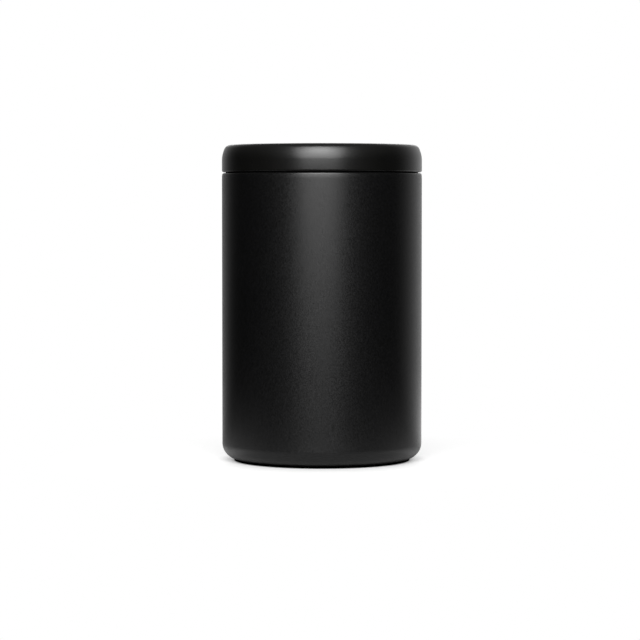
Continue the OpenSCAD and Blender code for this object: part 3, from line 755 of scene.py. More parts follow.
@dataclass
class Canister:
    """The double-walled body with its foot. Sizes are in millimetres."""

    radius: float = 54.0
    shell: float = 0.8
    liner: float = 0.7
    liner_radius: float = 49.2
    mouth_radius: float = 47.5
    shoulder: float = 155.2
    shoulder_round: float = 0.9
    lean_radius: float = 25.0
    lean_turn: float = 6.0
    neck_fillet: float = 0.8
    corner: float = 8.6
    foot_proud: float = 0.8
    recess_radius: float = 41.4
    liner_corner: float = 7.3
    step_height: float = 4.0
    pad_edge: float = 0.5
    groove_width: float = 2.0
    groove_depth: float = 0.4

    def rim(self) -> float:
        """Height at which both walls meet the rolled rim."""
        return height_of("inner_liner")[1] - self.rim_round()

    def rim_round(self) -> float:
        """Radius of the rolled rim, which covers both walls."""
        return (self.shell + self.liner) / 2

    def neck_radius(self) -> float:
        """Outside radius of the neck."""
        return self.mouth_radius + self.liner + self.shell

    def outer_shell(self) -> Object:
        """The shell: neck, shoulder, wall and rounded bottom corner, rolled in to the recess."""
        base_top = height_of("base_plate")[1] - 1.0
        base = (self.radius - self.corner, self.foot_proud + self.corner)
        turn, lean = self.lean_turn, math.radians(self.lean_turn)
        reach = self.lean_radius - self.shoulder_round
        side_radius = self.radius - self.lean_radius
        shoulder = (side_radius + reach * math.cos(lean), self.shoulder - self.shoulder_round)
        side = (side_radius, shoulder[1] - reach * math.sin(lean))
        neck = (self.neck_radius() + self.neck_fillet, self.shoulder + self.neck_fillet)
        lip = (self.recess_radius + self.shell, self.foot_proud + self.shell)
        inner_neck = self.neck_fillet + self.shell
        outline = [
            (self.neck_radius(), self.rim()),
            *arc(neck, self.neck_fillet, 180, 270, 8),
            *arc(shoulder, self.shoulder_round, 90, turn, 14),
            *arc(side, self.lean_radius, turn, 0, 6)[1:],
            *arc(base, self.corner, 0, -90, 36),
            *arc(lip, self.shell, -90, -180, 8),
            (self.recess_radius, base_top),
            (lip[0], base_top),
            lip,
            *arc(base, self.corner - self.shell, -90, 0, 18),
            *arc(side, self.lean_radius - self.shell, 0, turn, 4),
            *arc(shoulder, self.shoulder_round - self.shell, turn, 90, 4)[1:],
            *arc(neck, inner_neck, 270, 180, 8),
            (self.neck_radius() - self.shell, self.rim()),
        ]
        return Bench.smoothed(Bench.turned("outer_shell_coated", outline, 256))

    def inner_liner(self) -> Object:
        """The liner: rounded floor, wall, step in to the mouth, and the rolled rim."""
        floor = height_of("inner_liner")[0] + self.liner
        step_top = self.shoulder - 0.6
        step_low = step_top - self.step_height
        corner = (self.liner_radius - self.liner_corner, floor + self.liner_corner)
        outline = [
            (0.0, floor),
            *arc(corner, self.liner_corner, -90, 0, 28),
            *drawn((self.liner_radius, step_low), (self.mouth_radius, step_top)),
            *arc((self.mouth_radius + self.rim_round(), self.rim()), self.rim_round(), 180, 0, 20),
            (self.mouth_radius + self.liner, self.rim()),
            *drawn((self.mouth_radius + self.liner, step_top), (self.liner_radius + self.liner, step_low)),
            *arc(corner, self.liner_corner + self.liner, 0, -90, 14),
            (0.0, floor - self.liner),
        ]
        return Bench.smoothed(Bench.turned("inner_liner_polished", outline, 256))

    def groove(self, outside: float) -> list[Point]:
        """Outline of a groove in the pad's tread, up to an outside radius."""
        inside = outside - self.groove_width
        draft = 0.25
        return [
            (inside, 0.0),
            (inside + draft, self.groove_depth),
            (outside - draft, self.groove_depth),
            (outside, 0.0),
        ]

    def foot_pad(self) -> Object:
        """The pad in the recess, with its grooves and eased edges."""
        _, top = height_of("foot_pad")
        edge = self.recess_radius - 0.2
        outline = [
            (0.0, 0.0),
            *self.groove(edge - 14.0),
            *self.groove(edge - 6.0),
            *arc((edge - self.pad_edge, self.pad_edge), self.pad_edge, -90, 0, 8),
            (edge, top),
            (0.0, top),
        ]
        return Bench.smoothed(Bench.softened(Bench.turned("foot_pad_moulded", outline), 0.1))

    def build(self, looks: Finishes) -> None:
        """Makes and dresses the canister's pieces."""
        dressed(self.outer_shell(), Body.CANISTER, "powder_coat", looks.powder_coat, "outer_shell")
        dressed(self.inner_liner(), Body.CANISTER, "liner_steel", looks.liner_steel, "inner_liner")
        dressed(self.foot_pad(), Body.CANISTER, "foot_rubber", looks.foot, "foot_pad")
        repainted("base_plate", looks.base_steel)
        repainted("getter", looks.getter_metal)
        repainted("sealing_bead", looks.frit)


def lips(root: float, tip: float, low: float, height: float, count: int, way: int) -> list[Point]:
    """Outline of a lip seal's lips, from the lowest up.

    Args:
        root: Radius of the band that the lips stand on.
        tip: Radius that their shoulders reach. Their rounded noses go 0.1 mm past it.
        low: Height of the band's lower end.
        height: Height of the band.
        count: How many lips it has.
        way: 1 for lips that point outwards, -1 for inwards.

    Returns:
        The outline's points along the lips.
    """
    pitch = height / count
    shape = [(root, 0.18), (tip, 0.30), (tip + 0.07 * way, 0.34), (tip + 0.1 * way, 0.42)]
    shape += [(tip + 0.07 * way, 0.5), (tip, 0.54), (root, 0.78)]
    return [(radius, low + (i + share) * pitch) for i in range(count) for radius, share in shape]


@dataclass
class Cap:
    """The push-on cap, its insert and its seal. Sizes are in millimetres."""

    radius: float = 54.0
    wall: float = 1.8
    run: float = 4.6
    drop: float = 8.4
    turn: float = 25.0
    edge_round: float = 0.9
    insert_gap: float = 0.1
    insert: float = 1.0
    snap_depth: float = 0.4
    snap_height: float = 1.0
    seal_band: float = 1.1
    lip_height: float = 1.1
    seal_lips: int = 3

    def low(self) -> float:
        """Height of the cap's lower edge."""
        return height_of("cap_shell")[0]

    def top(self) -> float:
        """Height of the cap's flat top."""
        return height_of("cap_shell")[1]

    def crown(self, inset: float) -> list[Point]:
        """The crown's two arcs, set in from the outer surface, from the side up to the flat top."""
        turn = math.radians(self.turn)
        spread_by = (self.drop - self.run) / (math.sin(turn) - 1 + math.cos(turn))
        top_radius = self.run - spread_by * (1 - math.cos(turn))
        side_radius = top_radius + spread_by
        side = (self.radius - side_radius, self.top() - self.drop)
        top = (side[0] + spread_by * math.cos(turn), side[1] + spread_by * math.sin(turn))
        return [
            *arc(side, side_radius - inset, 0, self.turn, 24),
            *arc(top, top_radius - inset, self.turn, 90, 24)[1:],
        ]

    def snap(self) -> float:
        """Height of the snap bead between the insert and the cap."""
        return height_of("cap_insert")[0] + 2.4

    def cap_shell(self) -> Object:
        """The outer moulding, with the snap groove inside it."""
        edge = (self.radius - self.edge_round, self.low() + self.edge_round)
        inside = self.radius - self.wall
        groove = inside + self.snap_depth + self.insert_gap
        reach = self.snap_height / 2 + self.insert_gap
        outline = [
            *arc(edge, self.edge_round, -90, 0, 12),
            *self.crown(0.0),
            (0.0, self.top()),
            (0.0, self.top() - self.wall),
            *reversed(self.crown(self.wall)),
            (inside, self.snap() + reach),
            (groove, self.snap() + reach - 0.3),
            (groove, self.snap() - reach + 0.3),
            (inside, self.snap() - reach),
            (inside, self.low()),
        ]
        return Bench.smoothed(Bench.turned("cap_shell_satin", outline, 256))

    def cap_insert(self) -> Object:
        """The inner moulding, with the marks that its ejector pins and gate leave."""
        low = height_of("cap_insert")[0]
        seal_low, seal_high = height_of("cap_seal")
        face = 0.05
        outer = self.radius - self.wall - self.insert_gap
        inner = outer - self.insert
        hold = inner - self.seal_band
        upper = seal_high + face
        ceiling = self.top() - (self.radius - outer) - self.insert
        inner_crown = [p for p in reversed(self.crown(self.radius - inner)) if p[1] > upper + self.lip_height + 0.4]
        outline = [
            (hold, low),
            (outer - 0.4, low),
            (outer, low + 0.4),
            (outer, self.snap() - self.snap_height / 2),
            (outer + self.snap_depth, self.snap() - 0.15),
            (outer + self.snap_depth, self.snap() + 0.15),
            (outer, self.snap() + self.snap_height / 2),
            *self.crown(self.radius - outer),
            (0.0, self.top() - (self.radius - outer)),
            (0.0, ceiling + 0.35),
            (1.6, ceiling + 0.35),
            (2.0, ceiling),
            *inner_crown,
            (hold, upper + self.lip_height),
            (hold, upper),
            (inner, upper),
            (inner, seal_low - face),
            (hold, seal_low - face),
        ]
        piece = Bench.turned("cap_insert_moulded", outline)
        pins = [Bench.drill(3.0, ceiling - 1.0, ceiling + 0.12, at) for at in ring_of(4, 33.0, 45.0)]
        return Bench.smoothed(Bench.softened(Bench.cut(piece, pins), 0.08))

    def cap_seal(self) -> Object:
        """The lip seal that grips the neck."""
        low, high = height_of("cap_seal")
        band = self.radius - self.wall - self.insert_gap - self.insert - 0.05
        root = band - self.seal_band + 0.2
        tip = 49.4
        outline = [(band, low), (band, high), (root, high)]
        outline += reversed(lips(root, tip, low, high - low, self.seal_lips, -1))
        outline += [(root, low)]
        return Bench.smoothed(Bench.softened(Bench.turned("cap_seal_lips", outline), 0.06))

    def build(self, looks: Finishes) -> None:
        """Makes and dresses the cap's pieces."""
        dressed(self.cap_shell(), Body.CAP, "cap_plastic", looks.cap_abs, "cap_shell")
        dressed(self.cap_insert(), Body.CAP, "insert_plastic", looks.insert_pp, "cap_insert")
        dressed(self.cap_seal(), Body.CAP, "cap_silicone", looks.cap_seal, "cap_seal")


@dataclass
class InnerLid:
    """The frame in the mouth, its seal and the accordion under it. Sizes are in millimetres."""

    seat_radius: float = 46.9
    neck_radius: float = 49.0
    skirt: float = 2.0
    flange: float = 1.3
    ledge_width: float = 3.4
    ledge: float = 1.4
    bead: float = 1.4
    bead_width: float = 4.2
    clamp_height: float = 2.2
    seal_band: float = 1.1
    seal_lips: int = 3
    folds: int = 5
    pitch: float = 12.0
    closed_pitch: float = 3.0
    fold_depth: float = 8.4
    fold_round: float = 1.2
    fold_wall: float = 1.0
    arc_steps: int = 10

    def ledge_low(self) -> float:
        """Height of the ledge's underside, which the accordion's top bead is clamped to."""
        return height_of("accordion")[1]

    def clamp_low(self) -> float:
        """Height of the clamp ring's underside, where the folds begin."""
        return self.ledge_low() - self.bead - self.clamp_height

    def skirt_inside(self) -> float:
        """Inside radius of the skirt."""
        return self.seat_radius - self.skirt

    def ledge_inside(self) -> float:
        """Inside radius of the ledge."""
        return self.skirt_inside() - self.ledge_width

    def seat_ring(self) -> Object:
        """The frame: flange, skirt with its seal groove, and the ledge inside."""
        low, top = height_of("seat_ring")
        seal_low, seal_high = height_of("seat_seal")
        groove = self.seat_radius - self.seal_band
        flange_low = top - self.flange
        ledge_top = self.ledge_low() + self.ledge
        lead = 1.2
        inside = self.skirt_inside()
        nose = (self.ledge_inside() + self.ledge / 2, self.ledge_low() + self.ledge / 2)
        outline = [
            (self.seat_radius - 0.3, low),
            (self.seat_radius, low + 0.3),
            (self.seat_radius, seal_low - 0.05),
            (groove, seal_low - 0.05),
            (groove, seal_high + 0.05),
            (self.seat_radius, seal_high + 0.05),
            (self.seat_radius, flange_low),
            *arc((self.neck_radius - self.flange / 2, flange_low + self.flange / 2), self.flange / 2, -90, 90, 14),
            *arc((inside + lead, top - lead), lead, 90, 180, 12),
            (inside, ledge_top + 1.0),
            *arc((inside - 1.0, ledge_top + 1.0), 1.0, 0, -90, 8),
            *arc(nose, self.ledge / 2, 90, 270, 12),
            (inside, self.ledge_low()),
            (inside, low),
        ]
        return Bench.smoothed(Bench.softened(Bench.turned("seat_ring_frame", outline, 224), 0.08))

    def seat_seal(self) -> Object:
        """The lip seal that wipes the mouth."""
        low, high = height_of("seat_seal")
        band = self.seat_radius - self.seal_band + 0.05
        root = self.seat_radius - 0.2
        tip = 47.1
        outline = [(band, low), (root, low), *lips(root, tip, low, high - low, self.seal_lips, 1)]
        outline += [(root, high), (band, high)]
        return Bench.smoothed(Bench.softened(Bench.turned("seat_seal_lips", outline, 224), 0.05))

    def crest_radius(self) -> float:
        """Outside radius of the folds."""
        return self.seat_radius - 1.3

    def valley_radius(self) -> float:
        """Inside radius of the folds."""
        return self.crest_radius() - self.fold_depth

    def fold_face(self, side: int) -> list[Point]:
        """One face of the folds from the top down. Side is 1 for the outer face and -1 for the inner."""
        out = self.crest_radius() - self.fold_wall / 2 - self.fold_round
        back = self.valley_radius() + self.fold_wall / 2 + self.fold_round
        span = math.hypot(out - back, self.pitch / 2)
        slope = math.degrees(math.atan2(self.pitch / 2, out - back) - math.asin(2 * self.fold_round / span))
        top = self.clamp_low() - self.fold_round - self.fold_wall
        count = 2 * self.folds
        face: list[Point] = []
        for i in range(count):
            height = top - i * self.pitch / 2
            if i % 2 == 0:
                radius = self.fold_round + side * self.fold_wall / 2
                face += arc((out, height), radius, 90 - slope, slope - 90, self.arc_steps)
            else:
                radius = self.fold_round - side * self.fold_wall / 2
                last = 180.0 if i == count - 1 else 270 - slope
                face += arc((back, height), radius, 90 + slope, last, self.arc_steps)
        return face

    def accordion_head(self) -> Object:
        """The accordion's top bead, clamped under the ledge, and the tube down through the clamp ring."""
        tube = self.ledge_inside() + 0.3
        edge = self.skirt_inside() - 0.1
        outline = [
            (edge, self.ledge_low()),
            (edge, self.ledge_low() - self.bead),
            (tube, self.ledge_low() - self.bead),
            (tube, self.clamp_low()),
            (tube - self.fold_wall, self.clamp_low()),
            (tube - self.fold_wall, self.ledge_low()),
        ]
        return Bench.smoothed(Bench.softened(Bench.turned("accordion_head", outline, 224), 0.08))

    def fold_end(self) -> float:
        """Height at which the folds end and the bottom bead begins."""
        return height_of("accordion")[0] + self.bead + 0.4

    def accordion_folds(self) -> Object:
        """The folds, one continuous wall from the clamp ring down to the bottom bead."""
        tube = self.ledge_inside() + 0.3
        valley = self.valley_radius()
        outline = [
            (tube - self.fold_wall, self.clamp_low()),
            (tube, self.clamp_low()),
            *self.fold_face(1),
            (valley + self.fold_wall, self.fold_end()),
            (valley, self.fold_end()),
            *reversed(self.fold_face(-1)),
        ]
        return Bench.smoothed(Bench.turned("accordion_folds", outline, 224), 50.0)

    def accordion_foot(self) -> Object:
        """The bottom bead, which turns in under the press plate."""
        low = height_of("accordion")[0]
        valley = self.valley_radius()
        outline = [
            (valley, self.fold_end()),
            (valley + self.fold_wall, self.fold_end()),
            *arc((valley + self.fold_wall - 0.5, low + 0.5), 0.5, 0, -90, 8),
            (valley - self.bead_width, low),
            (valley - self.bead_width, low + self.bead),
            (valley, low + self.bead),
        ]
        return Bench.smoothed(Bench.softened(Bench.turned("accordion_foot", outline, 224), 0.06, angle=60.0))

    def build(self, looks: Finishes) -> None:
        """Makes and dresses the inner lid's pieces. The folds get their own mesh, though nothing here pushes them
        together as the press plate rises.
        """
        dressed(self.seat_ring(), Body.INNER_LID, "frame_plastic", looks.frame_nylon, "seat_ring")
        dressed(self.seat_seal(), Body.INNER_LID, "seal_silicone", looks.seal, "seat_seal")
        dressed(self.accordion_head(), Body.INNER_LID, "accordion_silicone", looks.accordion, "accordion")
        folds = dressed(self.accordion_folds(), Body.INNER_LID, "accordion_silicone", looks.accordion, "accordion")
        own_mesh(folds)
        dressed(self.accordion_foot(), Body.PRESS, "accordion_silicone", looks.accordion, "accordion")
        repainted("clamp_ring", looks.frame_nylon)


@dataclass
class Press:
    """The press plate with the valve's seat and cage, and the plate under it. Sizes are in millimetres."""

    plate: float = 1.6
    rim: float = 1.5
    rim_height: float = 4.5
    radius: float = 36.5
    dish: float = 2.5
    port: float = 4.5
    seat_radius: float = 6.4
    seat_height: float = 0.6
    seat_half: float = 0.9
    collar: float = 1.4
    collar_height: float = 3.2
    snap_radius: float = 31.5
    snap_wall: float = 1.2
    snap_depth: float = 0.4
    ribs: int = 12
    rib: float = 1.2
    cage_radius: float = 11.5
    cage_wall: float = 1.4
    cage_foot: float = 1.5
    cage_foot_height: float = 1.6
    roof: float = 1.6
    guide: float = 2.3
    guide_height: float = 2.0
    boss: float = 4.3
    windows: int = 6
    window: float = 4.0
    filter_radius: float = 11.0
    grille_hole: float = 0.9
    wire: float = 0.6
    coil: float = 5.0
    coils: int = 4

    def press_plate(self) -> Object:
        """The dish: rim, floor, collar for the cage, the raised seat, and the ribs under the floor."""
        low = height_of("press_plate")[0]
        floor = height_of("valve_cage")[0] - 0.05
        under = floor - self.plate
        rim_top = floor + self.rim_height
        inside = self.radius - self.rim
        collar_inside = self.cage_radius + self.cage_foot + 0.1
        collar_mid = (collar_inside + self.collar / 2, floor + self.collar_height - self.collar / 2)
        catch = floor + self.cage_foot_height
        snap_mid = low - 0.05 + (under - low + 0.05) / 2
        outline = [
            (self.port, under),
            (self.snap_radius, under),
            (self.snap_radius, snap_mid + 0.35),
            (self.snap_radius + self.snap_depth, snap_mid + 0.15),
            (self.snap_radius + self.snap_depth, snap_mid - 0.15),
            (self.snap_radius, snap_mid - 0.35),
            (self.snap_radius, low),
            (self.snap_radius + self.snap_wall - 0.3, low),
            (self.snap_radius + self.snap_wall, low + 0.3),
            (self.snap_radius + self.snap_wall, under),
            (self.radius, under),
            *arc((self.radius - self.rim / 2, rim_top - self.rim / 2), self.rim / 2, 0, 180, 14),
            *arc((inside - self.dish, floor + self.dish), self.dish, 0, -90, 12),
            *arc((collar_inside + self.collar + 1.0, floor + 1.0), 1.0, -90, -180, 8),
            *arc(collar_mid, self.collar / 2, 0, 180, 12),
            (collar_inside, catch + 0.7),
            (collar_inside - self.snap_depth, catch + 0.4),
            (collar_inside - self.snap_depth, catch + 0.25),
            (collar_inside, catch + 0.05),
            (collar_inside, floor),
            (self.seat_radius + self.seat_half, floor),
            (self.seat_radius + self.seat_half / 2, floor + self.seat_height),
            (self.seat_radius - self.seat_half / 2, floor + self.seat_height),
            (self.seat_radius - self.seat_half, floor),
            (self.port, floor),
        ]
        dish = Bench.softened(Bench.turned("press_plate_dish", outline, 224), 0.1)
        length = self.snap_radius - self.filter_radius - 2.2
        middle = self.filter_radius + 0.5 + length / 2
        height = under - low
        ribs = []
        for i in range(self.ribs):
            turn = 360 * (i + 0.5) / self.ribs
            ribs.append(Bench.block((length, self.rib, height + 0.1), (middle, 0, low + (height + 0.1) / 2), turn))
        web = Bench.softened(Bench.joined("ribs", ribs), 0.15)
        return Bench.smoothed(Bench.joined("press_plate_dish", [dish, web]))

    def bottom_plate(self) -> Object:
        """The plate that meets the beans: slightly hollow below, with its grille and snap ring."""
        low, snap_top = height_of("bottom_plate")
        top = height_of("accordion")[0]
        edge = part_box("bottom_plate")[1].x / MM
        ring = self.snap_radius - 0.05
        support = self.filter_radius - 0.5
        support_top = height_of("valve_filter")[0] - 0.02
        mid = top + 0.7
        outline = [
            (0.0, low + 0.6),
            (edge - 12, low),
            *arc((edge - 0.9, low + 0.9), 0.9, -90, 0, 10),
            *arc((edge - 0.3, top - 0.3), 0.3, 0, 90, 4),
            (ring, top),
            (ring, mid - 0.3),
            (ring + self.snap_depth, mid - 0.1),
            (ring + self.snap_depth, mid + 0.1),
            (ring, mid + 0.3),
            (ring, snap_top),
            (ring - 1.2, snap_top),
            (ring - 1.2, top),
            (support, top),
            (support, support_top),
            (support - 1.3, support_top),
            (support - 1.3, top),
            (0.0, top),
        ]
        plate = Bench.turned("bottom_plate_grille", outline, 224)
        holes = []
        for count, radius in ((1, 0.0), (6, 3.2), (12, 6.3)):
            holes += [Bench.drill(self.grille_hole, low - 1, top + 1, at) for at in ring_of(count, radius)]
        return Bench.smoothed(Bench.softened(Bench.cut(plate, holes), 0.12))

    def valve_cage(self) -> Object:
        """The cage: foot, windows, and a roof that guides the stem."""
        low, top = height_of("valve_cage")
        inside = self.cage_radius - self.cage_wall
        foot = self.cage_radius + self.cage_foot
        foot_top = low - 0.05 + self.cage_foot_height
        under = top - self.roof
        outline = [
            (inside, low),
            (foot, low),
            (foot, foot_top),
            (self.cage_radius + 0.4, foot_top),
            (self.cage_radius, foot_top + 0.4),
            *arc((self.cage_radius - 1.2, top - 1.2), 1.2, 0, 90, 12),
            (self.guide, top),
            (self.guide, under - self.guide_height),
            (self.boss, under - self.guide_height),
            (self.boss, under),
            (inside - 0.8, under),
            (inside, under - 0.8),
        ]
        cage = Bench.turned("valve_cage_windows", outline, 144)
        high = under - low - self.cage_foot_height - 3
        middle = foot_top + 1 + high / 2
        size = (2 * self.cage_radius + 2, self.window, high)
        slots = [Bench.block(size, (0, 0, middle), 360 * i / self.windows) for i in range(self.windows // 2)]
        return Bench.smoothed(Bench.softened(Bench.cut(cage, slots), 0.18))

    def valve_spring(self) -> Object:
        """The spring: flat for half a turn at each end, and rising evenly between."""
        low, high = height_of("valve_spring")
        start, end = low + self.wire / 2, high - self.wire / 2
        steps = 36
        count = self.coils * steps
        curve = bpy.data.curves.new("valve_spring_wire", "CURVE")
        curve.dimensions = "3D"
        curve.bevel_depth = self.wire / 2 * MM
        curve.bevel_resolution = 3
        curve.use_fill_caps = True
        line = curve.splines.new("POLY")
        line.points.add(count)
        for i, point in enumerate(line.points):
            turn = i / steps
            rise = min(max((turn - 0.5) / (self.coils - 1), 0), 1)
            x, y = self.coil * math.cos(math.tau * turn), self.coil * math.sin(math.tau * turn)
            point.co = (x * MM, y * MM, (start + (end - start) * rise) * MM, 1.0)
        piece = bpy.data.objects.new("valve_spring_wire", curve)
        bpy.context.scene.collection.objects.link(piece)
        Bench.pick(piece)
        bpy.ops.object.convert(target="MESH")
        return Bench.smoothed(Bench.welded(bpy.context.object))

    def build(self, looks: Finishes) -> None:
        """Makes and dresses the press plate's pieces. The spring gets its own mesh, though nothing here pushes it
        together as the valve lifts.
        """
        dressed(self.press_plate(), Body.PRESS, "plate_plastic", looks.plate_plastic, "press_plate")
        dressed(self.bottom_plate(), Body.PRESS, "plate_plastic", looks.plate_plastic, "bottom_plate")
        dressed(self.valve_cage(), Body.PRESS, "cage_plastic", looks.cage_acetal, "valve_cage")
        spring = dressed(self.valve_spring(), Body.PRESS, "spring_steel", looks.wire, "valve_spring")
        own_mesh(spring)
        repainted("valve_filter", looks.mesh)


@dataclass
class Valve:
    """The valve's moving pieces: stem, seal and pull knob. Sizes are in millimetres."""

    seal_radius: float = 8.0
    nub: float = 1.6
    stem: float = 2.0
    knob: float = 10.5
    waist: float = 8.0
    edge_round: float = 1.4
    socket: float = 6.1
    flutes: int = 12
    flute_depth: float = 0.8

    def valve_seal(self) -> Object:
        """The silicone disc, with rounded edges."""
        low, high = height_of("valve_seal")
        outline = [
            (self.nub, low),
            *arc((self.seal_radius - 0.4, low + 0.4), 0.4, -90, 0, 6),
            *arc((self.seal_radius - 0.4, high - 0.4), 0.4, 0, 90, 6),
            (self.nub, high),
        ]
        return Bench.smoothed(Bench.turned("valve_seal_disc", outline, 128))

    def valve_knob(self) -> Object:
        """The pull knob: a flared grip with soft flutes, dished on top."""
        low, top = height_of("valve_knob")
        outline = [
            (self.stem, low),
            (self.waist - 0.6, low),
            *arc((self.waist - 0.6, low + 0.6), 0.6, -90, 0, 6)[1:],
            *drawn((self.waist, low + 1.4), (self.knob, low + 4.4), 18),
            *arc((self.knob - self.edge_round, top - self.edge_round), self.edge_round, 0, 90, 14),
            *arc((self.knob - 3.0, top - 2.0), 2.0, 90, 102, 4)[1:],
            (self.knob - 5.0, top - 0.5),
            (0.0, top - 0.8),
            (0.0, low + self.socket),
            (self.stem, low + self.socket),
        ]
        piece = Bench.turned("valve_knob_fluted", outline, self.flutes * 24)
        for vertex in piece.data.vertices:
            radius = math.hypot(vertex.co.x, vertex.co.y) / MM
            if radius < self.waist - 1.5:
                continue
            angle = math.atan2(vertex.co.y, vertex.co.x)
            reach = min((radius - self.waist + 1.5) / 2.0, 1.0)
            hollow = max(math.cos(self.flutes * angle), 0.0) ** 1.5
            scale = 1 - self.flute_depth * hollow * reach / radius
            vertex.co.x *= scale
            vertex.co.y *= scale
        return Bench.smoothed(piece)

    def build(self, looks: Finishes) -> None:
        """Makes and dresses the valve's pieces."""
        dressed(self.valve_seal(), Body.VALVE, "seal_silicone", looks.seal, "valve_seal")
        dressed(self.valve_knob(), Body.VALVE, "knob_plastic", looks.knob_abs, "valve_knob")
        repainted("valve_stem", looks.cage_acetal)


@dataclass(frozen=True)
class Softbox:
    """A soft lamp that looks at the canister. Lengths are in metres and angles in degrees.

    Attributes:
        name: Its name.
        width: Its width.
        height: Its height.
        distance: How far it stands from the point that it is aimed at.
        elevation: How high it stands over that point.
        azimuth: How far it stands to the right of the camera.
        radiance: How bright its face is, where 1 is a white that just does not clip.
    """

    name: str
    width: float
    height: float
    distance: float
    elevation: float
    azimuth: float
    radiance: float

    def build(self, aim: Vector) -> Object:
        """Makes the lamp, aimed at a point. The camera does not see it."""
        data = bpy.data.lights.new(self.name, "AREA")
        data.shape = "RECTANGLE"
        data.size, data.size_y = self.width, self.height
        data.energy = self.radiance * math.pi * self.width * self.height
        made = bpy.data.objects.new(self.name, data)
        bpy.context.scene.collection.objects.link(made)
        azimuth, elevation = math.radians(self.azimuth), math.radians(self.elevation)
        away = Vector((math.sin(azimuth), -math.cos(azimuth), 0)) * math.cos(elevation)
        away.z = math.sin(elevation)
        made.location = aim + away * self.distance
        made.rotation_euler = away.to_track_quat("Z", "Y").to_euler()
        made.visible_camera = False
        return made


